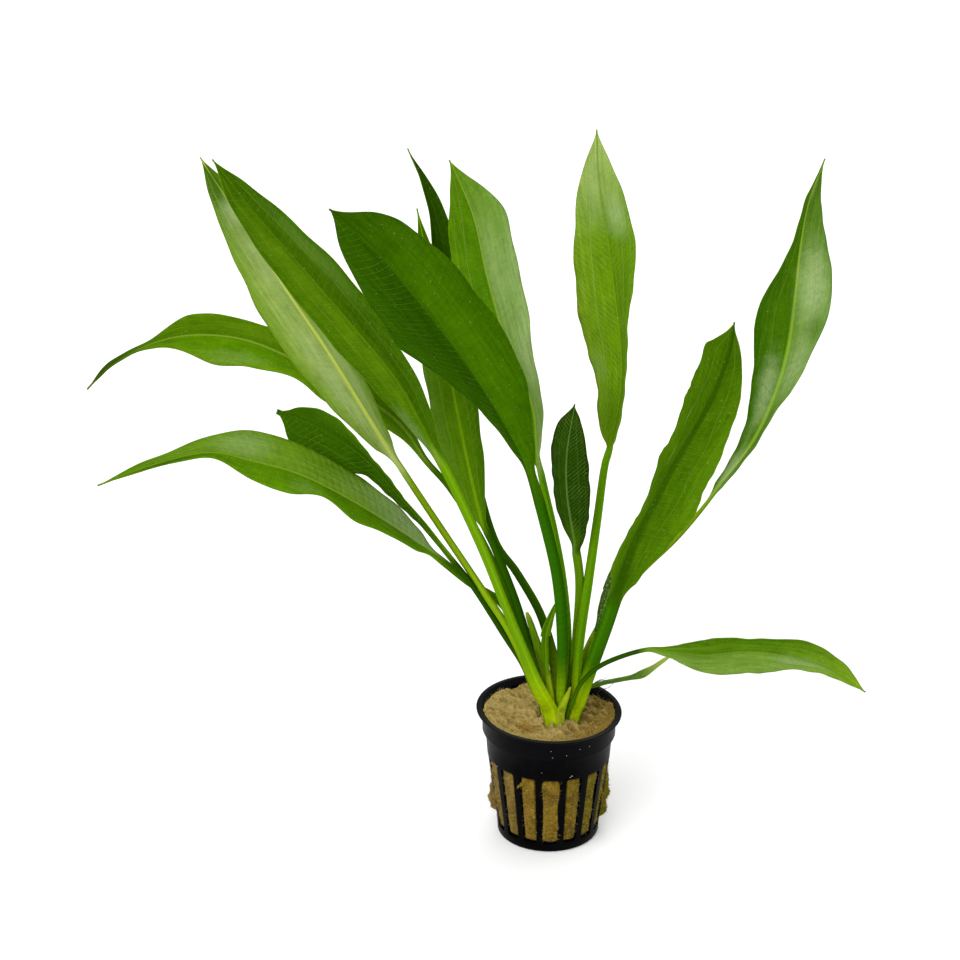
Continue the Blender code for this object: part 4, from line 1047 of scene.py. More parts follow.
def leaf_material(name, look, groups):
    """One leaf's material: its colours with their painted sheen, light and shade, its veins and its patches,
    of which the pale ones are painted sheen and also glossy.
    """
    veins, tissue, patch = groups
    made, n, shader = new_material(name)
    vein_inputs = {"Spacing": look["spacing"], "Slant": look["slant"], "Rib Width": look["rib_width"]}
    found = use_group(n, veins, vein_inputs)
    inputs = {
        "Left": lit(*look["left"]),
        "Left Margin": lit(*look["left_margin"]),
        "Right": lit(*look["right"]),
        "Right Margin": lit(*look["right_margin"]),
        "Tip": lit(*look["tip"]),
        "Stalk": lit(*look["stalk_colour"]),
        "Foot": lit(*look["foot_colour"]),
        "Rib Colour": lit(*look["rib"]),
        "Vein Colour": lit(*look["vein"]),
        "Edge Colour": lit(*look["edge"]),
        "Rib Strength": look["rib_strength"],
        "Vein Strength": look["vein_strength"],
        "Left Cross": look["cross"][0],
        "Right Cross": look["cross"][1],
        "Specks": look["specks"],
    }
    for key in VEIN_MASKS:
        inputs[key] = found[key]
    shown = use_group(n, tissue, inputs)["Colour"]
    gloss = None
    # Most patches lay painted sheen, painted light and painted shade into the colour; the pale ones, which
    # are painted sheen, also get a glossy coat
    for across, along, width, length, strength, tint in look["patches"]:
        inputs = {"Across": across, "Along": along, "Width": width, "Length": length, "Grain": look["grain"]}
        mask = n.times(use_group(n, patch, inputs)["Mask"], strength)
        shown = n.mix(mask, shown, lit(*tint))
        if sum(tint) > GLOSSY_FROM:
            gloss = mask if gloss is None else n.most(mask, gloss)
    n.put(shader.inputs["Base Color"], shown)
    if gloss is not None:
        n.put(shader.inputs["Coat Weight"], n.times(gloss, PATCH_COAT))
        shader.inputs["Coat Roughness"].default_value = 0.3
    set_gloss(shader, 0.46, 0.0)
    add_relief(n, shader, look["relief"], VEIN_RELIEF, found["Height"])
    return made


# Leaf shapes


def route_curve(route):
    """A smooth curve through a route with its running length, and the length at the route's second point."""
    knots = [Vector(p) for p in route]
    spans = len(knots) - 1
    steps = CURVE_STEPS * spans
    curve = [smooth_value(knots, i / steps) for i in range(steps + 1)]
    run = [0.0]
    for start, end in zip(curve, curve[1:]):
        run.append(run[-1] + (end - start).length)
    return curve, run, run[CURVE_STEPS]


def route_place(curve, run, want, hint):
    """The place and direction at a length along the curve, searched for from a hint onwards."""
    while hint < len(run) - 2 and run[hint + 1] < want:
        hint += 1
    step = (want - run[hint]) / (run[hint + 1] - run[hint])
    place = curve[hint].lerp(curve[hint + 1], step)
    last = len(curve) - 1
    here = (curve[min(hint + 5, last)] - curve[max(hint - 5, 0)]).normalized()
    there = (curve[min(hint + 6, last)] - curve[max(hint - 4, 0)]).normalized()
    return place, here.lerp(there, step).normalized(), hint


def leaf_directions(leaf, blade, ahead):
    """Unit vectors across the blade, to its right, and up from its upper side."""
    turn = math.radians(smooth_value(leaf["turns"], blade))
    facing = Vector(leaf["faces"])
    facing = (facing - ahead * facing.dot(ahead)).normalized()
    across = ahead.cross(facing)
    up = facing * math.cos(turn) + across * math.sin(turn)
    across = across * math.cos(turn) - facing * math.sin(turn)
    return across, up


def column_shares():
    """Shares of the half width from the left edge to the right one, closer together at the rib."""
    half = [(i / HALF_COLUMNS) ** COLUMN_POWER for i in range(1, HALF_COLUMNS + 1)]
    return [-s for s in reversed(half)] + [0.0] + half


def stalk_radii(leaf, look, share, blade):
    """The stalk's radius, and how broad and how thick it is with the sheath that clasps the crown."""
    stalk = straight_value(leaf["stalk"], share / leaf["blade_from"]) * math.sqrt(1.0 - blade)
    sheath = ease(SHEATH_REACH - share * look["length"], 0.0, SHEATH_REACH + 1.0)
    broad = stalk + (look["sheath"] - stalk) * sheath
    thin = stalk + (min(SHEATH_THICKNESS, look["sheath"] * 0.62) - stalk) * sheath
    return stalk, broad, thin


def kept_width(leaf, look, blade, along, s):
    """The share of its width that the blade keeps where its edge is nicked, or ragged near the tip."""
    side = -1 if s < 0 else 1
    reach = abs(s)
    start = leaf["wave"][2]
    ragged = look["ragged"] * ease(blade, 0.93, 1.0)
    nick = 1.0 + reach * reach * EDGE_NICK * math.sin(37.0 * along + 9.0 * side + start * 20)
    return nick - ragged * reach * (0.5 + 0.5 * math.sin(reach * 23 + side * 5 + 70 * along))


def edge_wave(leaf, blade, s, wide, flat):
    """How high the blade's waves and its finer ripple lift a place on it."""
    size, count, start = leaf["wave"]
    size *= min(1.0, wide / 5.0) * flat
    ripple = RIPPLE * min(1.0, wide / 6.0) * flat
    shift = 0.0 if s < 0 else 0.35
    reach = abs(s)
    wave = size * reach ** 1.6 * math.sin(2 * math.pi * (count * blade + start + shift))
    turns = count * 4.3 * blade + 1.7 * start + shift * 2.1
    return wave + ripple * reach ** 3 * math.sin(2 * math.pi * turns)


def leaf_section(leaf, look, share, along, place, ahead, shares):
    """The two skins of a leaf at one place, and each point's distance from the rib and from the edge."""
    blade = max(0.0, along)
    across, up = leaf_directions(leaf, blade, ahead)
    stalk, broad, thin = stalk_radii(leaf, look, share, blade)
    least = max(stalk, look["tip_width"])
    left, right = (smooth_value((leaf["stalk"][-1], *leaf[side], 0.0), blade) for side in ("left", "right"))
    halves = (max(least, left), max(least, right))
    wide = max(halves)
    flat = 1.0 if blade > 0.5 else min(1.0, max(0.0, (wide - stalk) / 3.0))
    slope = math.sin(math.radians(leaf["fold"]))
    top, bottom, distances = [], [], []
    for s in shares:
        reach = abs(s)
        width = halves[s > 0]
        if flat:
            width *= kept_width(leaf, look, blade, along, s)
        bow = BLADE_ARCH * width * (reach - reach * reach * 1.15)
        lift = width * reach * slope + bow + edge_wave(leaf, blade, s, wide, flat)
        thick = EDGE_THICKNESS + (BLADE_THICKNESS - EDGE_THICKNESS) * (1 - reach ** 4)
        rib = math.exp(-((reach * width / (0.75 - 0.35 * blade)) ** 2)) * (1.0 - 0.75 * blade)
        # The stalk is round, flatter on its upper side
        turn = math.pi / 2 * s * 0.96
        x = s * width * flat + broad * math.sin(turn) * (1 - flat)
        high = (lift + thick / 2 - RIB_GROOVE * rib) * flat + thin * math.cos(turn) * 0.72 * (1 - flat)
        low = (lift - thick / 2 - RIB_RIDGE * rib) * flat - thin * math.cos(turn) * (1 - flat)
        top.append(place + across * x + up * high)
        bottom.append(place + across * x + up * low)
        edge = width * (1 - reach) if flat else NO_EDGE
        distances.append((s * width, edge))
    return top, bottom, distances


def sheath_end(name, leaf):
    """Where a sheath ends in the wool."""
    if name in SHEATH_ENDS:
        return Vector(SHEATH_ENDS[name])
    place = Vector(leaf["route"][0]).lerp(Vector((*CROWN_AXIS, 0.0)), 1.0 - SHEATH_GATHER)
    place.z = SHEATH_BOTTOM
    return place


def leaf_mesh(name, leaf, look):
    """A leaf with its stalk as one closed skin, which stores where each of its points lies on the leaf."""
    curve, run, foot_run = route_curve((sheath_end(name, leaf), *leaf["route"]))
    length = run[-1] - foot_run
    look = dict(look, length=length)
    start = leaf["blade_from"]
    foot = foot_run / length
    rows = [-foot + (start + foot) * i / STALK_RINGS for i in range(STALK_RINGS)]
    rows += [start + (1.0 - start) * i / BLADE_RINGS for i in range(BLADE_RINGS + 1)]
    shares = column_shares()
    rings, places, leaf_shares, hint = [], [], [], 0
    for share in rows:
        want = min(run[-1], max(0.0, foot_run + share * length))
        place, ahead, hint = route_place(curve, run, want, hint)
        along = (share - start) / (1.0 - start) if share > start else share / start - 1.0
        top, bottom, distances = leaf_section(leaf, look, share, along, place, ahead, shares)
        rings.append(top + bottom[::-1])
        places += [(x, (share - start) * length, edge) for x, edge in distances + distances[::-1]]
        leaf_shares += [(s, along, 1.0) for s in shares] + [(s, along, 0.0) for s in shares[::-1]]
    item = lofted(name + "_blade", rings)
    vector_attribute(item, "place", places)
    vector_attribute(item, "share", leaf_shares)
    return item


# Stubs, sheath, runner and roots


def shoot_mesh(name, shoot):
    """A short round stem along its route, a little uneven, with a rounded end."""
    curve, run, foot_run = route_curve((sheath_end(name, shoot), *shoot["route"]))
    length = run[-1] - foot_run
    rings, places, shares, hint = [], [], [], 0
    for i in range(SHOOT_RINGS + 1):
        share = -foot_run / length + (1 + foot_run / length) * i / SHOOT_RINGS
        want = min(run[-1], max(0.0, foot_run + share * length))
        place, ahead, hint = route_place(curve, run, want, hint)
        across = ahead.cross(Vector((0.0, -1.0, 0.35))).normalized()
        up = across.cross(ahead)
        radius = smooth_value(shoot["radii"], share)
        if share >= 0.94:
            radius *= math.sqrt(max(0.1, (1.03 - share) / 0.09))
        ring = []
        for k in range(SHOOT_SIDES):
            angle = 2 * math.pi * k / SHOOT_SIDES
            uneven = 1 + 0.06 * math.sin(3 * angle + 9 * share) + 0.04 * math.sin(5 * angle + 31 * share)
            offset = across * math.cos(angle) * radius * uneven + up * math.sin(angle) * radius * uneven
            ring.append(place + offset)
            places.append((radius * math.sin(angle), share * length, NO_EDGE))
            shares.append((math.cos(angle), share, 1.0))
        rings.append(ring)
    item = lofted(name + "_stem", rings)
    vector_attribute(item, "place", places)
    vector_attribute(item, "share", shares)
    return item


def shoot_material(name, look):
    """A stem's own green, paler at its foot, with fine streaks, brown marks and a dry end."""
    made, n, shader = new_material(name)
    x, y, _ = n.parts(n.attribute("place"))
    _, along, _ = n.parts(n.attribute("share"))
    streaks = n.noise(n.joined(n.times(x, 3.0), n.times(y, 0.12)), 1.0, 3.0)
    body = n.mix(n.ramp(along, look["pale_to"], 0.0), lit(*look["body"]), lit(*look["foot"]))
    dark = n.toned(body, (0.45, 0.5, 0.4))
    body = n.tint(body, n.ramp(streaks, 0.55, 0.4), 0.6, dark)
    marks = n.noise(n.joined(n.times(x, 1.2), n.times(y, 0.5)), 1.0, 4.0, 0.7)
    body = n.tint(body, n.ramp(marks, 0.56, 0.64), look["brown"], lit(112, 62, 30))
    body = n.mix(n.ramp(along, look["end_from"], 1.0), body, lit(*look["end"]))
    n.put(shader.inputs["Base Color"], body)
    set_gloss(shader, 0.45, 0.02)
    add_relief(n, shader, 0.4, 0.2, streaks)
    return made


def root_rings(route, radius):
    """Rings along a thread that thins out towards its end."""
    knots = [Vector(point) for point in route]
    rings = []
    for i in range(ROOT_RINGS + 1):
        share = i / ROOT_RINGS
        place = smooth_value(knots, share)
        ahead = (smooth_value(knots, share + 0.02) - smooth_value(knots, share - 0.02)).normalized()
        across = ahead.cross(Vector((0.3, 0.9, 0.1))).normalized()
        up = across.cross(ahead)
        thick = radius * (1.0 - 0.7 * share) * (1.0 + 0.2 * math.sin(23 * share))
        turns = [2 * math.pi * k / ROOT_SIDES for k in range(ROOT_SIDES)]
        rings.append([place + (across * math.cos(a) + up * math.sin(a)) * thick for a in turns])
    return rings


def root_threads():
    """Fine dry roots that stand out beside the runner."""
    for number, (route, radius, tint) in enumerate(ROOTS, 1):
        item = lofted("root_thread_%d" % number, root_rings(route, radius))
        made, n, shader = new_material("root_thread_%d_skin" % number)
        tone = n.ramp(n.noise(n.place_in_millimetres(), 1.6), 0.35, 0.65)
        dark = tuple(part * 0.6 for part in tint)
        n.put(shader.inputs["Base Color"], n.mix(tone, lit(*dark), lit(*tint)))
        set_gloss(shader, 0.7)
        finish_piece(item, made, "stalk")


# Net pot


def wall_at(height):
    """The outside radius of the tapered wall."""
    return value_at(height, WALL_LEVELS)


def pot_profile():
    """The pot's outline as (radius, height), from its floor up the inner side and down the outer side."""
    inside = COLLAR_RADIUS - WALL
    under_rim = POT_HEIGHT - LIP
    wall_top = SLOT_TOP + 1.2
    inner = (
        (0.0, FLOOR),
        (FLOOR_RADIUS, FLOOR),
        (FLOOR_RADIUS + 0.8, FLOOR + 0.8),
        (wall_at(wall_top) - WALL, wall_top),
        (WALL_TOP_RADIUS - WALL, COLLAR_BOTTOM),
        (inside, COLLAR_BOTTOM + WALL),
        (inside, under_rim - 0.6),
    )
    rim = (
        (RIM_RADIUS - FLANGE, POT_HEIGHT - 0.2),
        (RIM_RADIUS - FLANGE + 0.25, POT_HEIGHT),
        (RIM_RADIUS - 0.45, POT_HEIGHT),
        (RIM_RADIUS - 0.12, POT_HEIGHT - 0.12),
        (RIM_RADIUS, POT_HEIGHT - 0.35),
        (RIM_RADIUS - 0.05, POT_HEIGHT - 0.65),
        (RIM_RADIUS - 0.35, under_rim),
    )
    collar = (
        (COLLAR_RADIUS + 0.5, under_rim),
        (COLLAR_RADIUS + 0.12, under_rim - 0.2),
        (COLLAR_RADIUS, under_rim - 0.5),
        (COLLAR_RADIUS, COLLAR_BOTTOM + 0.3),
        (COLLAR_RADIUS - 0.1, COLLAR_BOTTOM + 0.08),
        (COLLAR_RADIUS - 0.3, COLLAR_BOTTOM),
        (WALL_TOP_RADIUS + 0.1, COLLAR_BOTTOM),
        (WALL_TOP_RADIUS, COLLAR_BOTTOM - 0.15),
    )
    wall = (
        (wall_at(wall_top), wall_top),
        (SLOT_TOP_RADIUS, SLOT_TOP),
        *((wall_at(height), height) for height in (26, 20, 14, 8)),
        (BASE_RADIUS, SLOT_BOTTOM - 0.8),
        (BASE_RADIUS - 0.12, 0.5),
        (BASE_RADIUS - 0.4, 0.1),
        (BASE_RADIUS - 1.2, 0.0),
        (0.0, 0.0),
    )
    return inner + rim + collar + wall


def turned(name, profile, steps):
    """A closed skin turned about Z from a profile of (radius, height) points; both ends are on the axis."""
    points = [(0.0, 0.0, profile[0][1])]
    for radius, height in profile[1:-1]:
        points += [polar(radius, 2 * math.pi * k / steps, height) for k in range(steps)]
    points.append((0.0, 0.0, profile[-1][1]))
    last = len(points) - 1
    faces = [(0, 1 + k, 1 + (k + 1) % steps) for k in range(steps)]
    for row in range(len(profile) - 3):
        low = 1 + row * steps
        for k in range(steps):
            j = (k + 1) % steps
            faces.append((low + k, low + steps + k, low + steps + j, low + j))
    low = last - steps
    faces += [(last, low + (k + 1) % steps, low + k) for k in range(steps)]
    item = mesh_object(name, points, faces)
    face_outwards(item)
    return item


def lean(item):
    """Lowers the side towards +X and raises the side towards -X, less and less down to the floor."""
    for point in item.data.vertices:
        share = point.co.z / (POT_HEIGHT * MM)
        point.co.z -= RIM_DIP * share * point.co.x / RIM_RADIUS


def slot_outline():
    """The slot's outline as (share of its width, height), with rounded corners at its top and its foot."""
    steps = 6
    corner = 1.1
    width = 0.28
    right = 1 - width
    left = width - 1
    top = SLOT_TOP - corner
    foot = SLOT_BOTTOM + corner
    outline = []
    for x, height, first in ((right, top, 0), (left, top, 90), (left, foot, 180), (right, foot, 270)):
        for i in range(steps + 1):
            angle = math.radians(first + 90 * i / steps)
            outline.append((x + width * math.cos(angle), height + corner * math.sin(angle)))
    return outline


def slot_cutters():
    """Wedges for all the slots as one mesh, a little wider where the wall is wider."""
    points, faces = [], []
    outline = slot_outline()
    count = len(outline)
    for number in range(SLOT_COUNT):
        middle = SLOT_FIRST + number * SLOT_PITCH
        low = len(points)
        for radius in (BASE_RADIUS - 3.0, RIM_RADIUS):
            for share, height in outline:
                points.append(polar(radius, math.radians(middle + share * SLOT_ANGLE / 2), height))
        for i in range(count):
            j = (i + 1) % count
            faces.append((low + i, low + j, low + count + j, low + count + i))
        faces.append(tuple(low + i for i in reversed(range(count))))
        faces.append(tuple(low + count + i for i in range(count)))
    item = mesh_object("slot_cutters", points, faces)
    face_outwards(item)
    return item


def net_pot(made_of):
    """The slotted pot, its slot edges rounded off a little."""
    pot = turned("net_pot_moulded", pot_profile(), POT_STEPS)
    cutters = slot_cutters()
    cut = pot.modifiers.new("Slots", "BOOLEAN")
    cut.object = cutters
    cut.solver = "EXACT"
    soften = pot.modifiers.new("Moulded edges", "BEVEL")
    soften.width = EDGE_ROUND * MM
    soften.segments = 2
    soften.limit_method = "ANGLE"
    soften.angle_limit = math.radians(50)
    plain_mesh(pot)
    bpy.data.objects.remove(cutters)
    lean(pot)
    pot.data.set_sharp_from_angle(angle=math.radians(38))
    finish_piece(pot, made_of, "black_plastic", "net_pot")


def plastic_material():
    """Black plastic with fine scuffs and pale fibre dust, painted light that makes the collar a little
    lighter, and a painted reflection on top of the rim.
    """
    made, n, shader = new_material("black_moulded_plastic")
    place = n.place_in_millimetres()
    _, y, z = n.parts(place)
    cloud = n.noise(place, 0.14, 4.0, 0.6)
    fine = n.noise(place, 2.2, 3.0, 0.7)
    dust = n.noise(place, 1.25, 2.0, 0.8)
    base = n.mix(n.ramp(cloud, 0.35, 0.75), colour(1, 1, 2), colour(6, 6, 7))
    # Painted light: from the collar up the plastic is painted a little lighter than the wall below
    base = n.tint(base, n.ramp(z, 42.4, 43.4), 0.6, colour(9, 9, 12))

    # A painted reflection: the top of the rim is painted paler where it faces up, most of all at the front
    up = n.parts(n.add("ShaderNodeNewGeometry").outputs["Normal"])[2]
    rim_reflection = n.times(n.ramp(z, 49.3, 50.5), n.ramp(up, 0.3, 0.9))
    rim_reflection = n.times(rim_reflection, n.ramp(y, 4.0, -22.0, 0.1, 0.9))
    base = n.mix(rim_reflection, base, colour(34, 36, 31))

    specks = n.times(n.ramp(dust, 0.70, 0.76), n.ramp(cloud, 0.42, 0.6))
    n.put(shader.inputs["Base Color"], n.tint(base, specks, 0.12, colour(110, 106, 90)))
    n.put(shader.inputs["Roughness"], n.plus(0.32, n.times(n.ramp(fine, 0.3, 0.7), 0.16)))
    shader.inputs["Specular IOR Level"].default_value = 0.02
    add_relief(n, shader, 0.12, 0.1, fine)
    return made


# Mineral wool


def wool_radius(height):
    """The radius that just fits inside the tapered wall, and inside its foot below the slots."""
    if height < SLOT_BOTTOM:
        return FLOOR_RADIUS - WOOL_GAP
    return wall_at(height) - WALL - WOOL_GAP


def collar_inside(height):
    """The radius of the collar's inner side, and of the opening in the rim above it."""
    levels = (
        (WALL_TOP_RADIUS - WALL, COLLAR_BOTTOM),
        (COLLAR_RADIUS - WALL, COLLAR_BOTTOM + WALL),
        (COLLAR_RADIUS - WALL, POT_HEIGHT - LIP - 0.6),
        (RIM_RADIUS - FLANGE, POT_HEIGHT - 0.2),
    )
    return value_at(height, levels)


def wool_swell(height, offset, number):
    """How far the wool comes out through a slot: offset is from -1 to 1 across the slot."""
    uneven = 0.6 + 0.8 * noise.noise(Vector((number * 3.7, 0.4, height * 0.09)))
    uneven += 0.35 * noise.noise(Vector((number * 5.1, offset * 1.3, height * 0.35)))
    reach, extra, low, high, fade = SLOT_TUFTS.get(number, PLAIN_SLOT)
    rise = ease(height, SLOT_BOTTOM + 0.2, SLOT_BOTTOM + 1.2) * ease(SLOT_TOP + 0.2 - height, 0.0, 1.2)
    spill = (0.45 + extra) * max(0.05, uneven) * ease(height, low, low + 3.0)
    spill *= ease(high - height, -0.5, fade - 0.5)
    return (WALL - 0.45 + spill) * rise * ease(reach - abs(offset), 0.0, 0.22)


def dent(x, y, middle, wide, deep):
    """A round dent's depth at a place."""
    return deep * math.exp(-((x - middle[0]) / wide[0]) ** 2 - ((y - middle[1]) / wide[1]) ** 2)


def wool_top(x, y):
    """The height of the torn top, which has ridges, hollows and a crease, and is low and ragged behind."""
    rough = noise.fractal(Vector((x, y, 3.0)) * 0.16, 1.0, 2.0, 4)
    inside = ease(24.5 - math.hypot(x, y), 0.0, 4.0)
    height = 50.9 - 2.4 * ease(y, 6.0, 24.0)
    height += 1.3 * rough * inside
    folds = noise.noise(Vector((x * 0.24 + 0.1 * y, y * 0.3, 9.0)))
    height += (0.9 - 3.6 * abs(folds)) * inside
    step = ease(y + 8.2 + 0.35 * (x + 2.0) + 1.6 * rough, 0.0, 0.8) * ease(-x, 1.5, 3.0)
    height += 0.9 * step * inside
    # A ridge of pulled fibres at the left, and a block at the right that was cut from the plug
    off = (x + 18.6) * 0.76 + (y - 11.3) * 0.65
    height += 0.7 * math.exp(-(off / 0.8) ** 2) * ease(x, -20.0, -16.0) * ease(-x, 6.0, 9.0) * inside
    height += 0.7 * ease(x, 11.8, 12.8) * ease(11.0 - y + 0.6 * rough, 0.0, 0.8) * inside
    # The wool is pushed up round the sheaths
    near = math.hypot(x - CROWN_AXIS[0] + 0.4, y - CROWN_AXIS[1] + 1.2)
    lumps = noise.fractal(Vector((x, y, 7.0)) * 0.42, 1.0, 2.0, 3)
    height += (0.7 + 1.5 * lumps) * ease(11.5 - near, 0.0, 4.5)
    height -= dent(x, y, (-7.6, -15.0), (4.2, 2.6), 2.0)
    height -= dent(x, y, (-2.6, -2.6), (0.7, 2.8), 3.4)
    height -= dent(x, y, (17.0, -9.0 + 0.2 * (x - 17.0)), (3.4, 0.5), 1.1)
    height -= dent(x, y, (14.2, -4.2), (1.3, 1.6), 1.0)
    torn = y - 11.2 - 2.2 * noise.noise(Vector((x * 0.45, 2.0, 0.0))) + 0.55 * abs(x - 17.0)
    height -= 7.0 * ease(torn, 0.0, 1.3) * ease(x, 5.0, 8.5)
    return height


def plug_columns():
    """The plug's columns as (angle, offset across the slot, number of the slot), equally many per slot."""
    columns = []
    for number in range(SLOT_COUNT):
        middle = SLOT_FIRST + number * SLOT_PITCH
        for k in range(WOOL_COLUMNS_PER_SLOT):
            turn = (k / WOOL_COLUMNS_PER_SLOT - 0.5) * SLOT_PITCH
            columns.append((math.radians(middle + turn), turn / (SLOT_ANGLE / 2), number))
    return columns


def plug_side(columns, rings, bare):
    """Adds the rings of the side that swells through the slots, and marks the points that show in them."""
    low, high = FLOOR + 0.3, COLLAR_BOTTOM + 0.5
    for row in range(WOOL_WALL_RINGS + 1):
        height = low + (high - low) * row / WOOL_WALL_RINGS
        ring = []
        for angle, offset, number in columns:
            out = wool_swell(height, offset, number)
            radius = wool_radius(height) + out
            if out > 0.3:
                rough = Vector(polar(radius, angle, height))
                radius += 0.42 * noise.fractal(rough * 0.8, 1.0, 2.0, 4) * ease(out, 0.6, 1.4)
            ring.append(polar(radius, angle, height))
            bare.append(1.0 if out > WALL - 0.5 else 0.0)
        rings.append(ring)


def plug_top(columns, rings, bare):
    """Adds the rings of the torn top, from the shoulder against the rim to the crown."""
    for row in range(WOOL_TOP_RINGS + 1):
        reach = 1.0 - row / WOOL_TOP_RINGS
        ring = []
        for angle, _, _ in columns:
            behind = ease(math.sin(angle) - 0.35 * math.cos(angle), 0.1, 0.9)
            ragged = noise.noise(Vector((math.cos(angle) * 5.0, math.sin(angle) * 5.0, 1.0)))
            shoulder = COLLAR_RADIUS + 0.35 - behind * (1.5 + 1.6 * ragged)
            inner = Vector(crown_polar(3.6, angle, 0.0))
            place = inner.lerp(Vector(polar(shoulder, angle, 0.0)), reach ** 0.85)
            height = wool_top(place.x, place.y) - ease(reach, 0.93, 1.0) ** 2 * (0.15 + 2.2 * behind)
            ring.append((place.x, place.y, height))
            bare.append(1.0)
        rings.append(ring)


def roughen_plug(plug):
    """Roughens the plug's top, and keeps the plug out of the collar and the rim."""
    for point in plug.data.vertices:
        if point.co.z > 44.5 * MM:
            place = point.co / MM
            rough = 0.42 * noise.fractal(place * 0.8, 1.0, 2.0, 5) + 0.16 * noise.noise(place * 3.1)
            point.co.z += rough * MM
        reach = math.hypot(point.co.x, point.co.y)
        limit = (collar_inside(point.co.z / MM) - 0.15) * MM
        if point.co.z > COLLAR_BOTTOM * MM and reach > limit:
            point.co.x *= limit / reach
            point.co.y *= limit / reach


def mineral_wool():
    """The plug: sides that swell through the slots, a shoulder against the rim, and a top round the crown."""
    columns = plug_columns()
    rings, bare = [], []
    plug_side(columns, rings, bare)
    for height in (45.5, 48.4):
        rings.append([polar(COLLAR_RADIUS - WALL - 0.3, angle, height) for angle, _, _ in columns])
        bare += [0.0] * len(columns)
    plug_top(columns, rings, bare)
    for height in (46.0, 43.5):
        rings.append([crown_polar(3.4, angle, height) for angle, _, _ in columns])
        bare += [0.0] * len(columns)
    plug = lofted("mineral_wool_plug", rings)
    roughen_plug(plug)
    lean(plug)
    layer = plug.data.attributes.new("bare", "FLOAT", "POINT")
    layer.data.foreach_set("value", bare)
    return plug


def torn_flake(name, middle, size, turn, lift, seed):
    """A flake of mineral wool that stands off the plug: a thin lumpy pad, thinner at its rim."""
    steps = 36
    rows = 10
    rings = []
    for row in range(1, 2 * rows):
        angle = math.pi * row / (2 * rows)
        ring = []
        for k in range(steps):
            around = 2 * math.pi * k / steps
            torn = 1.0 + 0.22 * noise.noise(Vector((math.cos(around) * 1.6, math.sin(around) * 1.6, seed)))
            torn += 0.1 * noise.noise(Vector((math.cos(around) * 5.0, math.sin(around) * 5.0, seed)))
            x = size[0] * math.cos(around) * math.sin(angle) * torn
            y = size[1] * math.sin(around) * math.sin(angle) * torn
            z = -size[2] * math.cos(angle) + lift * (x / size[0]) ** 2
            z += 0.12 * noise.noise(Vector((x, y, seed)) * 1.4)
            ring.append((x, y, z))
        rings.append(ring)
    item = lofted(name, rings)
    for point in item.data.vertices:
        place = point.co / MM
        place.rotate(turn)
        point.co = (place + Vector(middle)) * MM
    return item


def wool_flakes(made_of):
    """The curled flake beside the crown, the torn tuft in a slot and the torn piece at the right."""
    for name, middle, size, turn, lift, seed in FLAKES:
        way = Euler([math.radians(a) for a in turn])
        finish_piece(torn_flake(name, middle, size, way, lift, seed), made_of, "mineral_wool")


def pot_dust():
    """Pale specks that cling to the outside of the pot."""
    shape = bmesh.new()
    for angle, height, long in DUST:
        radius = (wall_at(height) if height < COLLAR_BOTTOM else COLLAR_RADIUS) + 0.03
        way = math.radians(angle)
        spot = Matrix.Translation(Vector(polar(radius, way, height)) * MM)
        turn = Matrix.Rotation(way, 4, "Z") @ Matrix.Rotation(math.radians(31.0 * height), 4, "X")
        flat = Matrix.Diagonal((0.12 * MM, long * MM, 0.16 * MM, 1.0))
        bmesh.ops.create_icosphere(shape, subdivisions=1, radius=1.0, matrix=spot @ turn @ flat)
    mesh = bpy.data.meshes.new("pot_dust")
    shape.to_mesh(mesh)
    shape.free()
    item = bpy.data.objects.new("pot_dust", mesh)
    lean(item)
    bpy.context.scene.collection.objects.link(item)
    made, n, shader = new_material("pale_dust")
    tone = n.ramp(n.noise(n.place_in_millimetres(), 2.0), 0.35, 0.65)
    n.put(shader.inputs["Base Color"], n.mix(tone, colour(150, 146, 136), colour(226, 224, 216)))
    set_gloss(shader, 0.8)
    finish_piece(item, made, "mineral_wool")


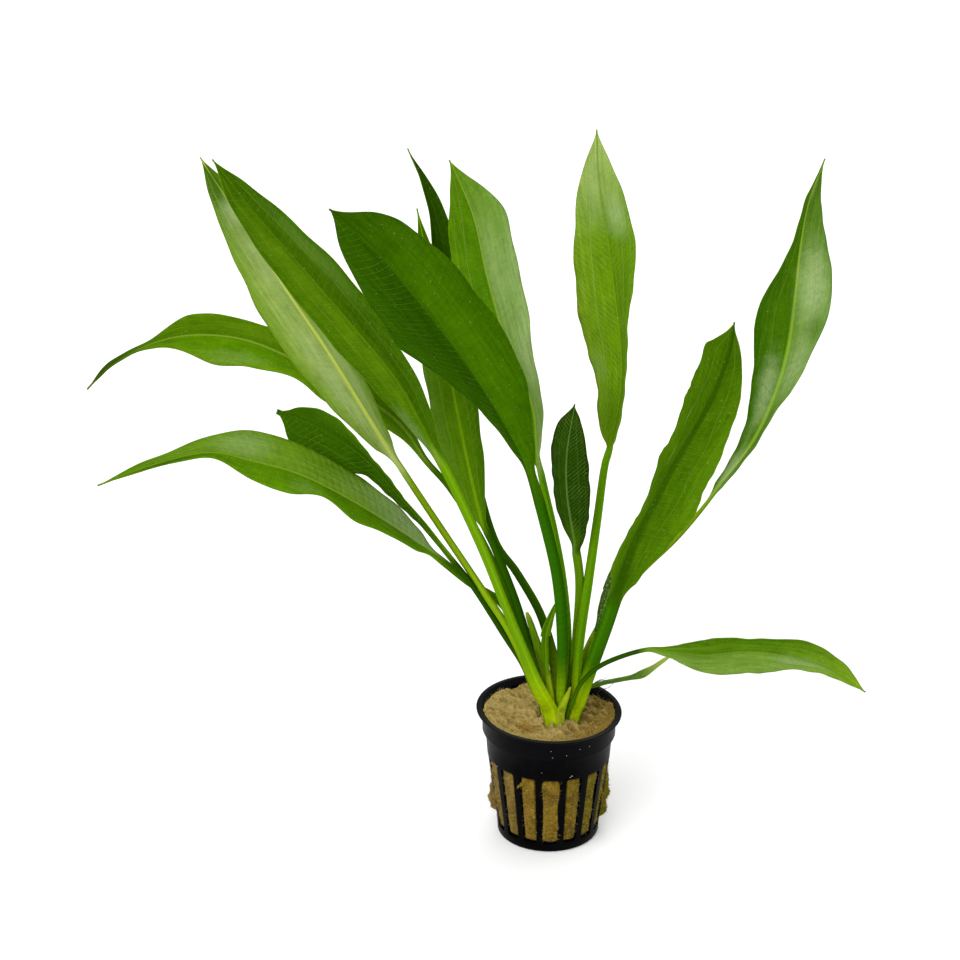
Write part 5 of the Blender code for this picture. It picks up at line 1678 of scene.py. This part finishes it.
def wool_group():
    """Mineral wool's colours: khaki on top, with painted shade where it lies low and painted light where it
    stands high, tan to olive at the sides, with pale and brown threads.
    """
    n, _, made = new_group("mineral_wool_look", (), (("Colour", "Color"), ("Height", "Float")))
    place = n.place_in_millimetres()
    x, _, z = n.parts(place)
    cloud = n.noise(place, 0.17, 4.0, 0.6)
    mottled = n.noise(place, 0.6, 5.0, 0.7)
    bent = n.moved(place, n.joined(mottled, cloud, mottled))
    threads = n.noise(n.stretched(bent, (1.0, 1.0, 4.0)), 1.1, 4.0, 0.75)

    # The sides go from tan at the left over gold to olive at the right
    side = n.mix(n.ramp(x, -19.0, -6.0), lit(142, 118, 64), lit(138, 110, 26))
    side = n.mix(n.ramp(x, 3.0, 18.0), side, lit(112, 104, 14))
    side = n.tint(side, n.ramp(cloud, 0.5, 0.36), 0.6, lit(78, 60, 12))
    lumps = n.noise(place, 0.42, 2.0, 0.6)
    side = n.tint(side, n.ramp(lumps, 0.48, 0.36), 0.5, lit(78, 60, 14))
    side = n.tint(side, n.ramp(lumps, 0.56, 0.7), 0.4, lit(174, 146, 58))

    # The top is darker at the right; painted shade darkens it where it lies low and turns its hollow in front
    # a darker ochre, and painted light makes it paler where it stands high
    across = n.plus(x, n.times(cloud, 10.0))
    top = n.mix(n.ramp(across, 6.0, 18.0), lit(184, 158, 88), lit(146, 120, 52))
    top = n.tint(top, n.ramp(cloud, 0.5, 0.34), 0.5, lit(168, 138, 72))
    far = n.add("ShaderNodeVectorMath", {0: place, 1: WOOL_HOLLOW}, operation="DISTANCE").outputs["Value"]
    top = n.tint(top, n.ramp(far, 7.0, 2.0), 0.75, lit(156, 118, 44))
    top = n.tint(top, n.ramp(z, 50.4, 48.6), 0.6, lit(104, 74, 26))
    top = n.tint(top, n.ramp(z, 50.8, 52.4), 0.55, lit(210, 186, 116))

    shown = n.mix(n.ramp(z, 40.0, 44.0), side, top)
    shown = n.tint(shown, n.ramp(mottled, 0.5, 0.34), 0.4, lit(98, 78, 26))
    shown = n.tint(shown, n.ramp(threads, 0.53, 0.68), 0.55, lit(222, 198, 124))
    shown = n.tint(shown, n.ramp(threads, 0.43, 0.32), 0.6, lit(78, 58, 18))
    n.put(made["Colour"], shown)
    n.put(made["Height"], n.plus(threads, n.times(mottled, 0.8)))
    return n.tree


def wool_material(group):
    """Damp mineral wool, matt and fibrous."""
    made, n, shader = new_material("damp_mineral_wool")
    look = use_group(n, group, {})
    n.put(shader.inputs["Base Color"], look["Colour"])
    set_gloss(shader, 0.95, 0.0)
    add_relief(n, shader, 0.7, 0.5, look["Height"])
    return made


# Crown


def crown_mesh(made_of):
    """The pale stub that the leaves spring from, drawn in between the sheaths."""
    steps = 96
    rings = []
    for radius, height in CROWN_PROFILE:
        ring = []
        for k in range(steps):
            angle = 2 * math.pi * k / steps
            lobes = 0.07 * math.sin(7 * angle + 0.4) + 0.04 * math.sin(12 * angle + 0.1 * height)
            grown = radius * (1.0 + lobes * ease(height, 46, 52))
            ring.append(crown_polar(grown, angle, height))
        rings.append(ring)
    finish_piece(lofted("crown_stub", rings), made_of, "crown_tissue", "crown")


def crown_material():
    """Pale tissue, yellow-green above and browner towards the wool, with upright fibres."""
    made, n, shader = new_material("pale_crown_tissue")
    place = n.place_in_millimetres()
    height = n.parts(place)[2]
    streaks = n.noise(n.stretched(place, (2.2, 2.2, 0.25)), 1.0, 4.0)
    body = n.mix(n.ramp(height, 49.0, 54.5), lit(160, 142, 66), lit(176, 188, 48))
    body = n.tint(body, n.ramp(streaks, 0.55, 0.35), 0.7, lit(96, 104, 22))
    body = n.tint(body, n.ramp(streaks, 0.6, 0.75), 0.5, lit(214, 212, 118))
    n.put(shader.inputs["Base Color"], body)
    set_gloss(shader, 0.5, 0.01)
    add_relief(n, shader, 0.5, 0.3, streaks)
    return made


# Loose fibres and crumbs, scattered with geometry nodes


def small_shape(n, given, shape):
    """One crumb, or one bent fibre that stands on its end."""
    long = given["Length"]
    if shape == "crumb":
        return n.add("GeometryNodeMeshIcoSphere", {"Radius": long, "Subdivisions": 1}).outputs[0]
    middle = n.joined(n.times(long, 0.28), 0.0, n.times(long, 0.5))
    tip = n.joined(n.times(long, -0.1), n.times(long, 0.25), long)
    inputs = {"Resolution": 3, "Start": (0.0, 0.0, 0.0), "Middle": middle, "End": tip}
    line = n.add("GeometryNodeCurveQuadraticBezier", inputs)
    ring = n.add("GeometryNodeCurvePrimitiveCircle", {"Resolution": 3, "Radius": given["Thickness"]})
    inputs = {"Curve": line.outputs[0], "Profile Curve": ring.outputs[0], "Fill Caps": True}
    return n.add("GeometryNodeCurveToMesh", inputs).outputs[0]


def scatter_tree(name, shape):
    """A tree that scatters one small shape over a surface; its named inputs are set by each modifier."""
    tree = bpy.data.node_groups.new(name, "GeometryNodeTree")
    for label, kind in SCATTER_INPUTS:
        tree.interface.new_socket(label, in_out="INPUT", socket_type="NodeSocket" + kind)
    tree.interface.new_socket("Geometry", in_out="OUTPUT", socket_type="NodeSocketGeometry")
    n = Nodes(tree)
    given = n.add("NodeGroupInput").outputs
    end = n.add("NodeGroupOutput")

    # Points on the bare surface above the lowest height
    height = n.parts(n.add("GeometryNodeInputPosition").outputs[0])[2]
    above = n.add("FunctionNodeCompare", {0: height, 1: given["Lowest"]}, operation="GREATER_THAN").outputs[0]
    bare = n.add("GeometryNodeInputNamedAttribute", {"Name": "bare"}, data_type="FLOAT").outputs[0]
    bare = n.add("FunctionNodeCompare", {0: bare, 1: 0.5}, operation="GREATER_THAN").outputs[0]
    chosen = n.add("FunctionNodeBooleanMath", {0: above, 1: bare}, operation="AND").outputs[0]
    inputs = {"Mesh": given["Geometry"], "Selection": chosen}
    inputs |= {"Density": given["Count Per Area"], "Seed": given["Seed"]}
    spread = n.add("GeometryNodeDistributePointsOnFaces", inputs)

    # Each copy leans off the surface at random, turned by any angle and of its own size
    turn = n.add("FunctionNodeRandomValue", {"Seed": given["Seed"]}, data_type="FLOAT_VECTOR").outputs[0]
    tilt = n.scaled(n.moved(turn, (-0.5, -0.5, -0.5)), given["Tilt"])
    aimed = n.moved(spread.outputs["Normal"], tilt)
    facing = n.add("FunctionNodeAlignRotationToVector", {"Vector": aimed}, axis="Z").outputs[0]
    spin = n.add("FunctionNodeRandomValue", {2: 0.0, 3: 6.28, "Seed": 7}, data_type="FLOAT").outputs[1]
    spun = n.add("FunctionNodeAxisAngleToRotation", {"Axis": (0.0, 0.0, 1.0), "Angle": spin}).outputs[0]
    way = n.add("FunctionNodeRotateRotation", {0: facing, 1: spun}, rotation_space="LOCAL").outputs[0]
    size = n.add("FunctionNodeRandomValue", {2: 0.45, 3: 1.3, "Seed": 3}, data_type="FLOAT").outputs[1]

    inputs = {"Points": spread.outputs["Points"], "Instance": small_shape(n, given, shape)}
    copies = n.add("GeometryNodeInstanceOnPoints", {**inputs, "Rotation": way, "Scale": size})
    real = n.add("GeometryNodeRealizeInstances", {0: copies.outputs[0]})
    painted = n.add("GeometryNodeSetMaterial", {"Geometry": real.outputs[0], "Material": given["Surface"]})
    n.put(end.inputs[0], painted.outputs[0])
    return tree


def scattered(name, surface, tree, values):
    """Runs a scatter tree over a copy of a surface and keeps its result as a plain mesh."""
    item = bpy.data.objects.new(name, surface.data.copy())
    bpy.context.scene.collection.objects.link(item)
    step = item.modifiers.new("Scatter", "NODES")
    step.node_group = tree
    sockets = {s.name: s.identifier for s in tree.interface.items_tree if s.in_out == "INPUT"}
    for label, value in values.items():
        step[sockets[label]] = value
    plain_mesh(item)
    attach(item, BODY)


def fibre_material():
    """Pale and brown threads of mineral wool."""
    made, n, shader = new_material("mineral_wool_threads")
    tone = n.ramp(n.noise(n.place_in_millimetres(), 0.9, 2.0, 0.8), 0.36, 0.62)
    n.put(shader.inputs["Base Color"], n.mix(tone, lit(112, 88, 32), lit(214, 194, 124)))
    set_gloss(shader, 0.9, 0.1)
    return made


# Stage, lights and camera


def soft_light(name, towards, spread, strength):
    """An even light from far away with soft shadows; spread is how wide it looks, in degrees."""
    data = bpy.data.lights.new(name, "SUN")
    data.energy = strength
    data.angle = math.radians(spread)
    item = bpy.data.objects.new(name, data)
    item.rotation_euler = Vector(towards).to_track_quat("-Z", "Y").to_euler()
    bpy.context.scene.collection.objects.link(item)


def stage():
    """A white floor, an even white surround and soft lamps."""
    mesh = bpy.data.meshes.new("floor")
    corners = [(x * STAGE_REACH, y * STAGE_REACH, 0) for x, y in ((-1, -1), (1, -1), (1, 1), (-1, 1))]
    mesh.from_pydata(corners, [], [(0, 1, 2, 3)])
    floor = bpy.data.objects.new("floor", mesh)
    floor.location.z = -STAGE_DROP
    bpy.context.scene.collection.objects.link(floor)
    white, _, shader = new_material("white_floor")
    shader.inputs["Base Color"].default_value = (0.92, 0.92, 0.92, 1.0)
    set_gloss(shader, 0.9, 0.0)
    mesh.materials.append(white)
    world = bpy.data.worlds.new("surround")
    world.use_nodes = True
    background = world.node_tree.nodes["Background"]
    background.inputs["Color"].default_value = (1.0, 1.0, 1.0, 1.0)
    background.inputs["Strength"].default_value = WORLD_STRENGTH
    bpy.context.scene.world = world
    soft_light("key", (0.5, 0.75, -1.0), 50, KEY_STRENGTH)
    soft_light("back", (-0.25, -0.6, -1.0), 60, BACK_STRENGTH)


def camera():
    """The camera, placed as the one that took the photo."""
    data = bpy.data.cameras.new("camera")
    data.lens = LENS
    item = bpy.data.objects.new("camera", data)
    item.location = CAMERA_PLACE
    item.rotation_euler = (math.radians(90.0 - CAMERA_PITCH), 0.0, math.radians(CAMERA_YAW))
    bpy.context.scene.collection.objects.link(item)
    bpy.context.scene.camera = item


def main():
    """Builds every piece of the plant and its pot, and then the stage."""
    net_pot(plastic_material())
    made_of = wool_material(wool_group())
    plug = mineral_wool()
    threads = fibre_material()
    fibre = scatter_tree("scattered_fibres", "fibre")
    crumb = scatter_tree("scattered_crumbs", "crumb")
    scattered("wool_fibres", plug, fibre, {**FIBRES, "Surface": threads})
    wool_flakes(made_of)
    pot_dust()
    scattered("wool_crumbs", plug, crumb, {**CRUMBS, "Surface": made_of})
    finish_piece(plug, made_of, "mineral_wool", "mineral_wool")
    crown_mesh(crown_material())

    groups = (vein_group(), tissue_group(), patch_group())
    for name, leaf in LEAVES.items():
        look = {**USUAL_LOOK, **LOOKS[name]}
        item = leaf_mesh(name, leaf, look)
        finish_piece(item, leaf_material(name + "_tissue", look, groups), "leaf", name)
    for name, shoot in SHOOTS.items():
        item = shoot_mesh(name, shoot)
        finish_piece(item, shoot_material(name + "_tissue", SHOOT_LOOKS[name]), "stalk", name)
    root_threads()
    stage()
    camera()
    bpy.context.scene.view_settings.view_transform = "Standard"


main()
